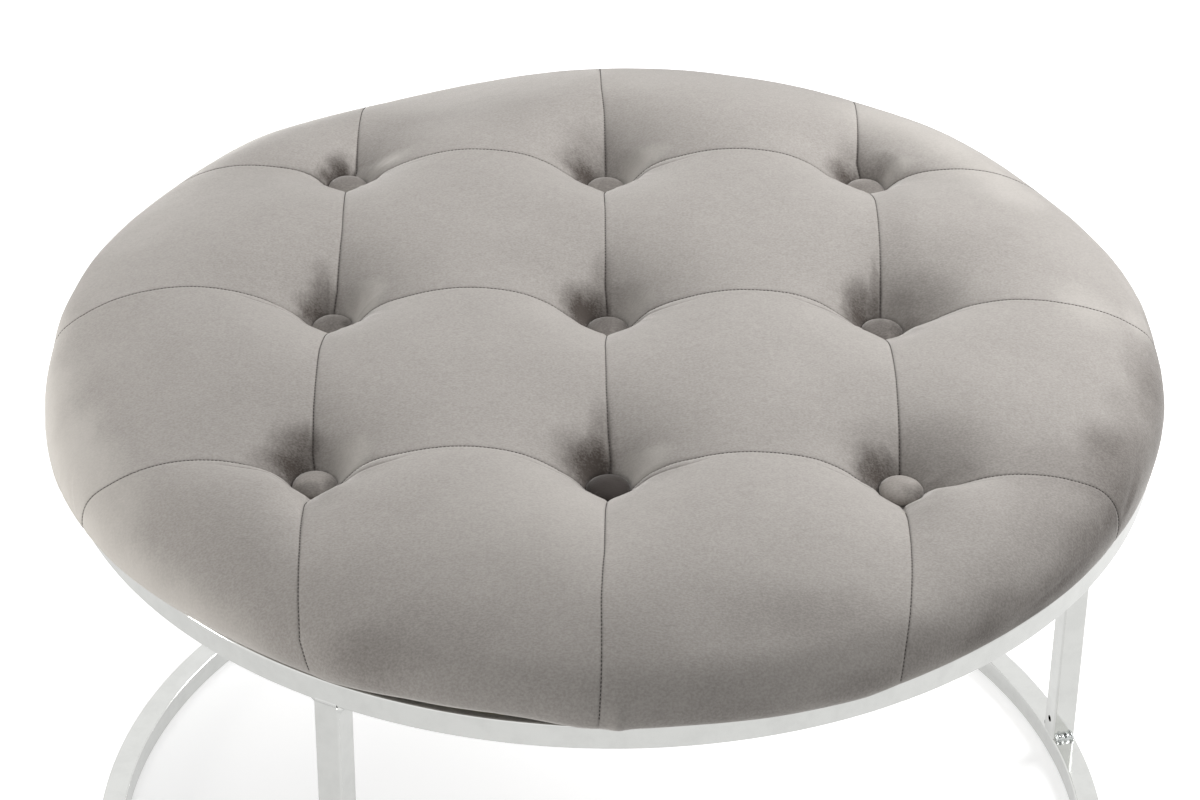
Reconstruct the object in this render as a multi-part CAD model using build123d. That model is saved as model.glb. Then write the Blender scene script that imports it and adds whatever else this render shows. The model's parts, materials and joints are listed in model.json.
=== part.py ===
from build123d import *
import math
import os

# Round tufted ottoman coffee table: a button-tufted velvet seat screwed to a welded frame of two
# square-tube rings and three legs. Millimetres, +Z up, the floor at z = 0, the origin under the
# middle of the rings. The seams of the seat run along X and Y, and -Y is the front.

# Frame of square tube
ring_radius = 400.0
frame_height = 432.0
tube_size = 19.0
tube_wall = 1.2
tube_corner_radius = 1.6
leg_angles = {"leg_front_left": 242.35, "leg_right": 15.2, "leg_back_left": 128.8}
vent_hole_diameter = 5.5
vent_hole_rise = 15.0
drain_hole_diameter = 8.0
head_weld_size = 6.0
head_weld_bulge_share = 0.35
foot_weld_size = 4.5
foot_weld_bulge_share = 0.62
weld_end_inset = 0.6
weld_gap = 0.3

# Plastic glides, plugged into the underside of the base ring
glide_head_height = 2.0
glide_head_radius = 6.6
glide_edge_radius = 0.6
glide_stem_radius = 3.4
glide_stem_length = 8.0
glide_tip_chamfer = 0.8
glide_fit = 0.1

# Tabs that carry the seat
tab_names = ("seat_tab_right", "seat_tab_back", "seat_tab_left", "seat_tab_front")
tab_reach = 30.0
tab_width = 32.0
tab_thickness = 3.0
tab_corner_radius = 6.0
tab_hole_radius = 3.5
tab_weld_size = 3.0
tab_weld_length = 24.0

# Screws, washers and tee nuts
screw_inset = 18.0
screw_radius = 3.0
screw_head_radius = 5.0
screw_head_height = 3.6
screw_head_edge = 1.2
screw_socket_radius = 2.3
screw_socket_depth = 2.2
screw_end_inset = 1.0
washer_radius = 7.0
washer_thickness = 1.2
washer_clearance = 0.3
thread_clearance = 0.05
tee_flange_radius = 9.5
tee_flange_thickness = 1.2
tee_barrel_radius = 3.9
tee_barrel_length = 10.0
tee_prong_length = 5.0
tee_prong_width = 2.4
tee_prong_inset = 0.4
tee_fit = 0.1

# Plywood seat board
board_thickness = 15.0
board_edge_radius = 2.0

# Velvet seat. Heights are counted from the top of the seat ring.
cushion_crown = 87.5
rim_overhang = 5.0
foot_inset = 2.5
shoulder_inset = 8.0
seam_draw = 2.5
foam_edge_width = 9.5
button_pitch_share = 0.5
velvet_thickness = 1.2
turn_in_width = 55.0
soft_gap = 0.3
seam_overlap = 1.0
corner_overlap_angle = 0.6
corner_start_radius = 12.0

# Heights in the seat, as shares of its crown
rim_height_share = 0.32
shoulder_height_share = 0.549
pit_corner_share = 0.366
pit_rise_share = 0.137
pit_floor_share = 0.48
pit_mouth_share = 0.686
seam_crest_share = 0.926
outer_seam_crest_share = 0.88
corner_seam_crest_share = 0.749
edge_pillow_share = 0.949
corner_pillow_share = 0.834

# Where a panel's loft has its sections, as shares of the panel
panel_section_shares = (0.0, 0.12, 0.3, 0.5, 0.7, 0.88, 1.0)
corner_section_shares = (0.0, 0.25, 0.5, 0.75, 1.0)

# Covered buttons and the twine that holds them down
button_radius = 15.3
button_height = 9.7
button_skin = 0.9
button_back_inset = 3.0
button_waist_share = 0.4
button_belly_inset_share = 0.25
button_belly_rise_share = 0.4
pit_clearance = 0.9
pit_flare = 4.8
loop_wire_radius = 0.75
loop_bend_radius = 3.0
loop_leg_embed = 3.0
loop_drop = 0.6
loop_fit = 0.05
twine_radius = 1.25
twine_loop_gap = 0.2
cord_channel_radius = 6.0
board_cord_hole_radius = 3.0
cord_washer_radius = 10.0
cord_washer_thickness = 2.0
cord_washer_fit = 0.15
knot_radius = 3.0
knot_height = 4.0
knot_edge_radius = 1.2

# Staples and the dust cover
staple_wire = 0.6
staple_width = 1.0
staple_crown = 10.0
staple_leg = 8.0
cover_staple_inset = 7.0
cover_staple_count = 24
dust_thickness = 0.5
dust_edge_inset = 4.0
dust_staple_inset = 9.0
dust_staple_count = 16
dust_slope_width = 34.0
dust_tab_gap = 3.0
layer_gap = 0.1
screw_way_radius = 4.0

# One overrun for every cut, and how far along each side of a square its rounded corner bulges
overrun = 1.0
diagonal_share = math.sqrt(1 / 2)

# Places that follow from the sizes above
ring_inner_radius = ring_radius - tube_size
ring_middle_radius = ring_radius - tube_size / 2
base_ring_bottom = glide_head_height
base_ring_top = base_ring_bottom + tube_size
seat_ring_bottom = frame_height - tube_size
seat_ring_top = frame_height
flat_width = tube_size - 2 * tube_corner_radius

rim_radius = ring_radius + rim_overhang
foot_radius = ring_radius - foot_inset
shoulder_radius = ring_radius - shoulder_inset
board_radius = foot_radius - foam_edge_width
button_pitch = ring_radius * button_pitch_share
rim_height = cushion_crown * rim_height_share
shoulder_height = cushion_crown * shoulder_height_share
pit_corner_height = cushion_crown * pit_corner_share
pit_rise = cushion_crown * pit_rise_share
pit_floor_height = cushion_crown * pit_floor_share
pit_mouth_height = cushion_crown * pit_mouth_share
seam_crest = cushion_crown * seam_crest_share
outer_seam_crest = cushion_crown * outer_seam_crest_share
corner_seam_crest = cushion_crown * corner_seam_crest_share
edge_pillow_crest = cushion_crown * edge_pillow_share
corner_pillow_crest = cushion_crown * corner_pillow_share
pit_radius = button_radius + pit_clearance
arch_rise_share = (seam_crest - pit_corner_height) / (button_pitch / 2)

board_bottom = seat_ring_top + velvet_thickness
board_top = board_bottom + board_thickness
foam_drop = velvet_thickness + soft_gap
turn_in_radius = foot_radius - turn_in_width
dust_edge_top = seat_ring_top - staple_wire - layer_gap
dust_edge_radius = ring_inner_radius - dust_edge_inset
cord_washer_bottom = board_bottom - cord_washer_thickness
knot_bottom = cord_washer_bottom - knot_height
dust_middle_top = knot_bottom - soft_gap
tab_top = dust_edge_top - dust_thickness - layer_gap
tab_bottom = tab_top - tab_thickness
screw_circle_radius = ring_inner_radius - screw_inset
screw_head_top = tab_bottom - washer_thickness
cover_staple_radius = turn_in_radius + cover_staple_inset
dust_staple_radius = ring_inner_radius - dust_staple_inset

button_back = seat_ring_top + pit_floor_height + soft_gap
loop_bend_height = button_back - loop_drop
loop_foot_height = loop_bend_height - loop_bend_radius
twine_eye_radius = loop_wire_radius + twine_radius + twine_loop_gap
button_lines = (-button_pitch, 0.0, button_pitch)
button_places = [(x, y) for y in button_lines for x in button_lines]
tab_angles = [index * 360 / len(tab_names) for index in range(len(tab_names))]
screw_places = [
    (screw_circle_radius * math.cos(math.radians(angle)), screw_circle_radius * math.sin(math.radians(angle)))
    for angle in tab_angles
]


def group(solids):
    """Several separate solids as one node."""
    return Compound(children=list(solids))


def save(name, shape):
    """Writes one node."""
    export_step(shape, f"parts/{name}.step")


def upright(x, y, z):
    """A plane facing up with its origin at a point."""
    return Plane((x, y, z))


def cylinder_up(radius, height, x, y, z):
    """A cylinder standing on a point."""
    return Solid.make_cylinder(radius, height, upright(x, y, z))


def at_angle(shape, angle):
    """A shape turned about the middle of the rings."""
    return shape.rotate(Axis.Z, angle)


def turned(outline):
    """A solid of revolution about Z from closed edges in the XZ plane."""
    return Solid.revolve(Face(Wire(outline)), 360, Axis.Z)


def polygon(points):
    """Closed edges through points in the XZ plane."""
    corners = [Vector(x, 0, z) for x, z in points]
    return [Line(corners[i - 1], corners[i]).edge() for i in range(len(corners))]


# Frame


def tube_section(plane):
    """The hollow square section of the tube."""
    outside = RectangleRounded(tube_size, tube_size, tube_corner_radius)
    inside_size = tube_size - 2 * tube_wall
    inside = RectangleRounded(inside_size, inside_size, tube_corner_radius - tube_wall)
    return plane * (outside - inside)


def tube_ring(bottom):
    """A square tube bent to a full circle."""
    plane = Plane(origin=(ring_middle_radius, 0, bottom + tube_size / 2), x_dir=(1, 0, 0), z_dir=(0, -1, 0))
    return revolve(tube_section(plane), Axis.Z)


def drain_hole(angle, bottom):
    """The hole that joins a ring's bore to a leg's bore."""
    depth = tube_wall + 2 * overrun
    hole = cylinder_up(drain_hole_diameter / 2, depth, ring_middle_radius, 0, bottom - overrun)
    return at_angle(hole, angle)


def seat_ring():
    """The ring under the cushion, holed over each leg."""
    ring = tube_ring(seat_ring_bottom)
    for angle in leg_angles.values():
        ring = ring - drain_hole(angle, seat_ring_bottom)
    return ring


def glide_angles():
    """Under each leg and halfway between two legs."""
    angles = sorted(leg_angles.values())
    between = []
    for index, angle in enumerate(angles):
        last = angles[index - 1] - (360 if index == 0 else 0)
        between.append((angle + last) / 2)
    return angles + between


def base_ring():
    """The ring on the floor, holed under each leg and for each glide."""
    ring = tube_ring(base_ring_bottom)
    for angle in leg_angles.values():
        ring = ring - drain_hole(angle, base_ring_top - tube_wall)
    for angle in glide_angles():
        radius = glide_stem_radius + glide_fit
        hole = cylinder_up(radius, tube_wall + 2 * overrun, ring_middle_radius, 0, base_ring_bottom - overrun)
        ring = ring - at_angle(hole, angle)
    return ring


def leg(angle):
    """An upright tube between the rings, with its vent hole facing inwards."""
    length = seat_ring_bottom - base_ring_top
    tube = extrude(tube_section(upright(ring_middle_radius, 0, base_ring_top)), amount=length)
    wall_plane = Plane(
        origin=(ring_inner_radius - overrun, 0, base_ring_top + vent_hole_rise),
        z_dir=(1, 0, 0),
    )
    hole = Solid.make_cylinder(vent_hole_diameter / 2, tube_wall + 2 * overrun, wall_plane)
    return at_angle(tube - hole, angle)


def weld_bead(size, bulge_share, length):
    """A bead in the corner of two flat faces, along X, its corner at the origin."""
    corner = Vector(0, 0, 0)
    along_face = Vector(0, size, 0)
    up_side = Vector(0, 0, size)
    crown = Vector(0, size * bulge_share, size * bulge_share)
    outline = Wire([
        Line(corner, along_face).edge(),
        ThreePointArc(along_face, crown, up_side).edge(),
        Line(up_side, corner).edge(),
    ])
    return extrude(Face(outline), amount=length, dir=(1, 0, 0))


def leg_welds(size, bulge_share, level, upwards):
    """The two beads beside each leg, on a ring's flat face."""
    length = flat_width - 2 * weld_end_inset
    bead = weld_bead(size, bulge_share, length)
    if not upwards:
        bead = bead.mirror(Plane.XY)
    left = bead.translate((ring_middle_radius - length / 2, tube_size / 2, level))
    right = left.mirror(Plane.XZ)
    return group(at_angle(side, angle) for angle in leg_angles.values() for side in (left, right))


# Tabs, screws and tee nuts


def tab_outline():
    """A tab seen from above, its outer edge bent to the ring's inside."""
    outer_radius = ring_inner_radius - weld_gap
    inner = ring_inner_radius - tab_reach
    half = tab_width / 2
    corner_x = math.sqrt(outer_radius**2 - half**2)
    r = tab_corner_radius
    nick = r * (1 - diagonal_share)
    edges = [
        Line((inner + r, half), (corner_x, half)),
        ThreePointArc((corner_x, half), (outer_radius, 0), (corner_x, -half)),
        Line((corner_x, -half), (inner + r, -half)),
        ThreePointArc((inner + r, -half), (inner + nick, -half + nick), (inner, -half + r)),
        Line((inner, -half + r), (inner, half - r)),
        ThreePointArc((inner, half - r), (inner + nick, half - nick), (inner + r, half)),
    ]
    return Face(Wire([part.edge() for part in edges]))


def seat_tab(angle):
    """One tab with its screw hole."""
    plate = extrude(tab_outline().translate((0, 0, tab_bottom)), amount=tab_thickness, dir=(0, 0, 1))
    depth = tab_thickness + 2 * overrun
    hole = cylinder_up(tab_hole_radius, depth, screw_circle_radius, 0, tab_bottom - overrun)
    return at_angle(plate - hole, angle)


def tab_weld(angle):
    """The bead under a tab, bent along the ring's inside."""
    outer = ring_inner_radius - weld_gap
    inner = outer - tab_weld_size
    low = tab_bottom - tab_weld_size
    belly = tab_weld_size * (1 - diagonal_share)
    outline = Wire([
        Line((inner, 0, tab_bottom), (outer, 0, tab_bottom)).edge(),
        Line((outer, 0, tab_bottom), (outer, 0, low)).edge(),
        ThreePointArc((outer, 0, low), (inner + belly, 0, low + belly), (inner, 0, tab_bottom)).edge(),
    ])
    spread = math.degrees(tab_weld_length / outer)
    bead = Solid.revolve(Face(outline), spread, Axis.Z)
    return at_angle(bead, angle - spread / 2)


def seat_screw(x, y):
    """A button-head socket screw, head down."""
    shank_bottom = screw_head_top
    shank_length = board_top - screw_end_inset - shank_bottom
    shank = cylinder_up(screw_radius, shank_length, x, y, shank_bottom)
    head = cylinder_up(screw_head_radius, screw_head_height, x, y, screw_head_top - screw_head_height)
    head = fillet(head.edges().group_by(Axis.Z)[0], screw_head_edge)
    socket_plane = upright(x, y, screw_head_top - screw_head_height)
    socket = extrude(socket_plane * RegularPolygon(screw_socket_radius, 6), amount=screw_socket_depth)
    return (shank + head) - socket


def screw_washer(x, y):
    """A plain washer between a screw's head and its tab."""
    disc = cylinder_up(washer_radius, washer_thickness, x, y, screw_head_top)
    hole_radius = screw_radius + washer_clearance
    return disc - cylinder_up(hole_radius, washer_thickness + 2 * overrun, x, y, screw_head_top - overrun)


def tee_prongs(x, y):
    """The four prongs of a tee nut, under its flange."""
    reach = tee_flange_radius - tee_prong_inset - tee_flange_thickness / 2
    prongs = []
    for quarter in range(4):
        box = Solid.make_box(
            tee_flange_thickness,
            tee_prong_width,
            tee_prong_length,
            Plane((-tee_flange_thickness / 2, -tee_prong_width / 2, 0)),
        )
        box = box.translate((reach, 0, 0)).rotate(Axis.Z, 90 * quarter)
        prongs.append(box.translate((x, y, board_top - tee_prong_length)))
    return prongs


def tee_nut(x, y):
    """A pronged nut let into the board from above."""
    flange = cylinder_up(tee_flange_radius, tee_flange_thickness, x, y, board_top)
    barrel_bottom = board_top - tee_barrel_length
    barrel = cylinder_up(tee_barrel_radius, tee_barrel_length, x, y, barrel_bottom)
    nut = flange.fuse(barrel, *tee_prongs(x, y))
    bore_length = tee_barrel_length + tee_flange_thickness + 2 * overrun
    bore = cylinder_up(screw_radius + thread_clearance, bore_length, x, y, barrel_bottom - overrun)
    return nut - bore


# Staples


def staple(radius, angle, crown_top):
    """A wire staple driven upwards, its crown across the radius."""
    half = staple_crown / 2
    bottom = crown_top - staple_wire
    top = crown_top + staple_leg
    inner = half - staple_wire
    corners = [
        (-half, bottom),
        (half, bottom),
        (half, top),
        (inner, top),
        (inner, crown_top),
        (-inner, crown_top),
        (-inner, top),
        (-half, top),
    ]
    points = [Vector(radius - staple_width / 2, along, height) for along, height in corners]
    edges = [Line(points[i - 1], points[i]).edge() for i in range(len(points))]
    return at_angle(extrude(Face(Wire(edges)), amount=staple_width, dir=(1, 0, 0)), angle)


def staple_circle(radius, count, crown_top):
    """Staples evenly round a circle, none of them at a tab."""
    step = 360 / count
    return [staple(radius, step * (index + 1 / 2), crown_top) for index in range(count)]


# Seat board and dust cover


def board_shape():
    """The bare plywood disc with eased edges."""
    disc = cylinder_up(board_radius, board_thickness, 0, 0, board_bottom)
    return fillet(disc.edges().filter_by(GeomType.CIRCLE), board_edge_radius)


def seat_board(staples):
    """The board with its holes for twine, tee nuts and staples."""
    cuts = list(staples)
    deep = board_thickness + 2 * overrun
    for x, y in button_places:
        cuts.append(cylinder_up(board_cord_hole_radius, deep, x, y, board_bottom - overrun))
    for x, y in screw_places:
        cuts.append(cylinder_up(tee_barrel_radius + tee_fit, deep, x, y, board_bottom - overrun))
        cuts.extend(tee_prongs(x, y))
    return board_shape().cut(*cuts)


def dust_cover(staples):
    """A thin cloth dish stapled on at its rim and hanging clear of the knots."""
    slope_top = ring_inner_radius - tab_reach - dust_tab_gap
    slope_foot = slope_top - dust_slope_width
    sheet = turned(polygon([
        (0, dust_middle_top),
        (slope_foot, dust_middle_top),
        (slope_top, dust_edge_top),
        (dust_edge_radius, dust_edge_top),
        (dust_edge_radius, dust_edge_top - dust_thickness),
        (slope_top, dust_edge_top - dust_thickness),
        (slope_foot, dust_middle_top - dust_thickness),
        (0, dust_middle_top - dust_thickness),
    ]))
    cuts = list(staples)
    for x, y in screw_places:
        depth = dust_edge_top - dust_middle_top + dust_thickness + 2 * overrun
        cuts.append(cylinder_up(screw_way_radius, depth, x, y, dust_middle_top - dust_thickness - overrun))
    return sheet.cut(*cuts)


# Tufted cushion: a quarter of it is one inner panel, two edge panels and a corner panel, each lofted
# through sections of lines and arcs. The velvet and the foam are the same shape at other drops.


def arch(share):
    """A round arch over a span of one: nothing at both ends and one in the middle."""
    rise = arch_rise_share
    radius = (1 + rise * rise) / (2 * rise)
    across = 2 * share - 1
    return (math.sqrt(radius * radius - across * across) - (radius - rise)) / rise


def swell(share):
    """A flat arch over a span of one."""
    return 4 * share * (1 - share)


def height_on_arc(first, middle, last, along):
    """The height, at a place along, of the upper arc through three points."""
    (ax, az), (bx, bz), (cx, cz) = first, middle, last
    double_area = 2 * (ax * (bz - cz) + bx * (cz - az) + cx * (az - bz))
    a, b, c = ax * ax + az * az, bx * bx + bz * bz, cx * cx + cz * cz
    centre_x = (a * (bz - cz) + b * (cz - az) + c * (az - bz)) / double_area
    centre_z = (a * (cx - bx) + b * (ax - cx) + c * (bx - ax)) / double_area
    radius = math.hypot(ax - centre_x, az - centre_z)
    return centre_z + math.sqrt(radius * radius - (along - centre_x) ** 2)


def panel_steps():
    """Places of a panel's sections, the first and last just past its seams."""
    for share in panel_section_shares:
        past = {0.0: -seam_overlap, 1.0: seam_overlap}.get(share, 0.0)
        yield button_pitch * share + past


def seam_height(share, drop):
    """Height of a seam between two buttons."""
    return pit_corner_height + (seam_crest - pit_corner_height) * arch(share) - drop


def inner_panel(drop):
    """The square panel between four buttons."""
    wires = []
    for y in panel_steps():
        share = y / button_pitch
        side = seam_height(share, drop)
        crest = seam_crest + (cushion_crown - seam_crest) * swell(share) - drop
        arc = (0, side), (button_pitch / 2, crest), (button_pitch, side)
        near, far = -seam_overlap, button_pitch + seam_overlap
        level = seat_ring_top + drop
        low_near = Vector(near, y, level)
        high_near = Vector(near, y, seat_ring_top + height_on_arc(*arc, near))
        top = Vector(button_pitch / 2, y, seat_ring_top + crest)
        high_far = Vector(far, y, seat_ring_top + height_on_arc(*arc, far))
        low_far = Vector(far, y, level)
        wires.append(Wire([
            Line(low_near, high_near).edge(),
            ThreePointArc(high_near, top, high_far).edge(),
            Line(high_far, low_far).edge(),
            Line(low_far, low_near).edge(),
        ]))
    return Solid.make_loft(wires)


def rim_wire(place, start, arc, rim, foot, drop):
    """A section from a seam out over the rim: up the seam, over the crest, round the rim, back."""
    crest, shoulder = arc[1], arc[2]
    low = place(start, drop)
    high = place(start, height_on_arc(*arc, start))
    edge = place(*shoulder)
    end = place(foot, drop)
    return Wire([
        Line(low, high).edge(),
        ThreePointArc(high, place(*crest), edge).edge(),
        ThreePointArc(edge, place(rim, rim_height), end).edge(),
        Line(end, low).edge(),
    ])


def edge_panel(drop):
    """The panel between two buttons and the rim."""
    wires = []
    for y in panel_steps():
        share = y / button_pitch
        draw = drop + seam_draw * (1 - swell(share))
        foot, rim, shoulder = (
            math.sqrt((r - draw) ** 2 - y * y)
            for r in (foot_radius, rim_radius, shoulder_radius)
        )
        seam = outer_seam_crest + (corner_seam_crest - outer_seam_crest) * share
        puff = edge_pillow_crest - (outer_seam_crest + corner_seam_crest) / 2
        crest = seam + puff * swell(share) - drop
        arc = (
            (button_pitch, seam_height(share, drop)),
            ((button_pitch + shoulder) / 2, crest),
            (shoulder, shoulder_height - drop),
        )

        def place(x, height):
            return Vector(x, y, seat_ring_top + height)

        wires.append(rim_wire(place, button_pitch - seam_overlap, arc, rim, foot, drop))
    return Solid.make_loft(wires)


def corner_panel(drop):
    """The panel outside a corner button, its sections in a fan about that button."""
    button = Vector(button_pitch, button_pitch, 0)
    wires = []
    for share in corner_section_shares:
        past = {0.0: -corner_overlap_angle, 1.0: corner_overlap_angle}.get(share, 0.0)
        angle = math.radians(90 * share + past)
        spread = math.degrees(angle) / 90
        outward = Vector(math.cos(angle), math.sin(angle), 0)
        inward = button.dot(outward)
        draw = drop + seam_draw * (1 - swell(spread))
        foot, rim, shoulder = (
            math.sqrt(inward**2 + (r - draw) ** 2 - button.dot(button)) - inward
            for r in (foot_radius, rim_radius, shoulder_radius)
        )
        crest = corner_seam_crest + (corner_pillow_crest - corner_seam_crest) * swell(spread) - drop
        arc = (
            (0, pit_corner_height + pit_rise * swell(spread) - drop),
            (shoulder / 2, crest),
            (shoulder, shoulder_height - drop),
        )

        def place(distance, height):
            return button + outward * distance + Vector(0, 0, seat_ring_top + height)

        wires.append(rim_wire(place, corner_start_radius, arc, rim, foot, drop))
    return Solid.make_loft(wires)


def button_pit(x, y, drop):
    """What the button keeps open above its seat."""
    depth = pit_mouth_height - pit_floor_height + drop
    floor = upright(x, y, seat_ring_top + pit_floor_height - drop)
    return Solid.make_cone(pit_radius + drop, pit_radius + pit_flare + drop, depth, floor)


def button_seat(x, y, drop):
    """The firm middle under a button."""
    height = pit_floor_height - 2 * drop
    return cylinder_up(pit_radius + drop + seam_overlap, height, x, y, seat_ring_top + drop)


def cushion(drop):
    """The whole tufted form, a drop inside the velvet's outer face."""
    edge = edge_panel(drop)
    turned_edge = edge.mirror(Plane.XZ).rotate(Axis.Z, 90)
    quarter_places = [(x, y) for x, y in button_places if x >= 0 and y >= 0]
    seats = [button_seat(x, y, drop) for x, y in quarter_places]
    quarter = inner_panel(drop).fuse(edge, turned_edge, corner_panel(drop), *seats)
    quarter = quarter.cut(*[button_pit(x, y, drop) for x, y in quarter_places])
    return quarter.fuse(*[quarter.rotate(Axis.Z, 90 * turn) for turn in range(1, 4)])


def foam_pad():
    """The foam, over the board's top and down round its edge."""
    pocket_radius = board_radius + soft_gap
    cuts = [cylinder_up(pocket_radius, board_top - seat_ring_top, 0, 0, seat_ring_top)]
    for x, y in button_places:
        cuts.append(cylinder_up(cord_channel_radius, pit_floor_height, x, y, seat_ring_top))
    for x, y in screw_places:
        depth = tee_flange_thickness + soft_gap
        cuts.append(cylinder_up(tee_flange_radius + soft_gap, depth, x, y, board_top))
    return cushion(foam_drop).cut(*cuts)


def velvet_cover(staples):
    """The sewn cover, its edge turned in under the board."""
    bag = cushion(0) - cushion(velvet_thickness)
    cuts = list(staples)
    depth = velvet_thickness + 2 * overrun
    cuts.append(cylinder_up(turn_in_radius, depth, 0, 0, seat_ring_top - overrun))
    for x, y in button_places:
        cuts.append(cylinder_up(cord_channel_radius, cushion_crown, x, y, seat_ring_top))
    for x, y in screw_places:
        cuts.append(cylinder_up(screw_way_radius, depth, x, y, seat_ring_top - overrun))
    return bag.cut(*cuts)


# Buttons and their twine


def button_dome(inset, base):
    """A button's domed body, drawn in at the back, some way inside its skin."""
    radius = button_radius - inset
    top = base + button_height - inset
    waist_height = base + button_height * button_waist_share
    rise = top - waist_height
    dome_radius = (radius**2 + rise**2) / (2 * rise)
    half_angle = math.asin(radius / dome_radius) / 2
    crown = (dome_radius * math.sin(half_angle), top - dome_radius * (1 - math.cos(half_angle)))
    back_radius = radius - button_back_inset
    belly = (
        radius - button_back_inset * button_belly_inset_share,
        base + (waist_height - base) * button_belly_rise_share,
    )

    def point(x, z):
        return Vector(x, 0, z)

    return turned([
        Line(point(0, base), point(0, top)).edge(),
        ThreePointArc(point(0, top), point(*crown), point(radius, waist_height)).edge(),
        ThreePointArc(point(radius, waist_height), point(*belly), point(back_radius, base)).edge(),
        Line(point(back_radius, base), point(0, base)).edge(),
    ])


def button_cap(x, y):
    """The velvet over a button, open at the back."""
    skin = button_dome(0, button_back) - button_dome(button_skin, button_back)
    opening_radius = button_radius - button_back_inset - 2 * button_skin
    opening = cylinder_up(opening_radius, button_skin + overrun, 0, 0, button_back - overrun)
    return (skin - opening).translate((x, y, 0))


def button_core(x, y):
    """The hard button with the two sockets of its loop."""
    core = button_dome(button_skin + layer_gap, button_back)
    for side in (-loop_bend_radius, loop_bend_radius):
        depth = loop_leg_embed + overrun
        core = core - cylinder_up(loop_wire_radius + loop_fit, depth, side, 0, button_back - overrun)
    return core.translate((x, y, 0))


def button_loop(x, y):
    """The wire loop at a button's back."""
    leg_length = button_back + loop_leg_embed - loop_bend_height
    left = cylinder_up(loop_wire_radius, leg_length, -loop_bend_radius, 0, loop_bend_height)
    right = cylinder_up(loop_wire_radius, leg_length, loop_bend_radius, 0, loop_bend_height)
    ring_plane = Plane(origin=(0, 0, loop_bend_height), x_dir=(-1, 0, 0), z_dir=(0, 1, 0))
    section = Plane(origin=(loop_bend_radius, 0, loop_bend_height)) * Circle(loop_wire_radius)
    bend = Solid.revolve(section.face(), 180, Axis(ring_plane.origin, ring_plane.z_dir))
    return left.fuse(bend, right).translate((x, y, 0))


def tuft_cord(x, y):
    """The twine from the loop's eye down to its knot."""
    eye_plane = Plane(origin=(0, 0, loop_foot_height), z_dir=(1, 0, 0))
    eye = Solid.make_torus(twine_eye_radius, twine_radius, eye_plane)
    run_top = loop_foot_height - twine_eye_radius
    run = cylinder_up(twine_radius, run_top - knot_bottom, 0, 0, knot_bottom)
    knot = cylinder_up(knot_radius, knot_height, 0, 0, knot_bottom)
    knot = fillet(knot.edges().filter_by(GeomType.CIRCLE), knot_edge_radius)
    return eye.fuse(run, knot.solid()).translate((x, y, 0))


def cord_washer(x, y):
    """The washer that a knot pulls against."""
    disc = cylinder_up(cord_washer_radius, cord_washer_thickness, x, y, cord_washer_bottom)
    hole_radius = twine_radius + cord_washer_fit
    return disc - cylinder_up(
        hole_radius, cord_washer_thickness + 2 * overrun, x, y, cord_washer_bottom - overrun
    )


# Glides


def floor_glide(angle):
    """A plastic plug with a flat round foot."""
    foot = cylinder_up(glide_head_radius, glide_head_height, ring_middle_radius, 0, 0)
    foot = fillet(foot.edges().group_by(Axis.Z)[0], glide_edge_radius)
    stem = cylinder_up(glide_stem_radius, glide_stem_length, ring_middle_radius, 0, glide_head_height)
    stem = chamfer(stem.edges().group_by(Axis.Z)[-1], glide_tip_chamfer)
    return at_angle(foot + stem, angle)


def build():
    """Writes every node."""
    os.makedirs("parts", exist_ok=True)
    cover_staples = staple_circle(cover_staple_radius, cover_staple_count, seat_ring_top)
    dust_staples = staple_circle(dust_staple_radius, dust_staple_count, dust_edge_top - dust_thickness)
    staples = cover_staples + dust_staples

    save("seat_ring", seat_ring())
    save("base_ring", base_ring())
    for name, angle in leg_angles.items():
        save(name, leg(angle))
    save("seat_ring_welds", leg_welds(head_weld_size, head_weld_bulge_share, seat_ring_bottom, False))
    save("base_ring_welds", leg_welds(foot_weld_size, foot_weld_bulge_share, base_ring_top, True))
    save("floor_glides", group(floor_glide(angle) for angle in glide_angles()))

    for name, angle in zip(tab_names, tab_angles):
        save(name, seat_tab(angle))
    save("tab_welds", group(tab_weld(angle) for angle in tab_angles))
    save("seat_screws", group(seat_screw(x, y) for x, y in screw_places))
    save("screw_washers", group(screw_washer(x, y) for x, y in screw_places))
    save("tee_nuts", group(tee_nut(x, y) for x, y in screw_places))

    save("seat_board", seat_board(staples))
    save("foam_pad", foam_pad())
    save("velvet_cover", velvet_cover(staples))
    save("cover_staples", group(cover_staples))
    save("dust_cover", dust_cover(dust_staples))
    save("dust_cover_staples", group(dust_staples))

    save("tuft_button_caps", group(button_cap(x, y) for x, y in button_places))
    save("tuft_button_cores", group(button_core(x, y) for x, y in button_places))
    save("tuft_button_loops", group(button_loop(x, y) for x, y in button_places))
    save("tuft_cords", group(tuft_cord(x, y) for x, y in button_places))
    save("cord_washers", group(cord_washer(x, y) for x, y in button_places))


build()
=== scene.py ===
import bpy
import bmesh
import json
import math
import numpy as np
from mathutils import Matrix, Vector


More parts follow.
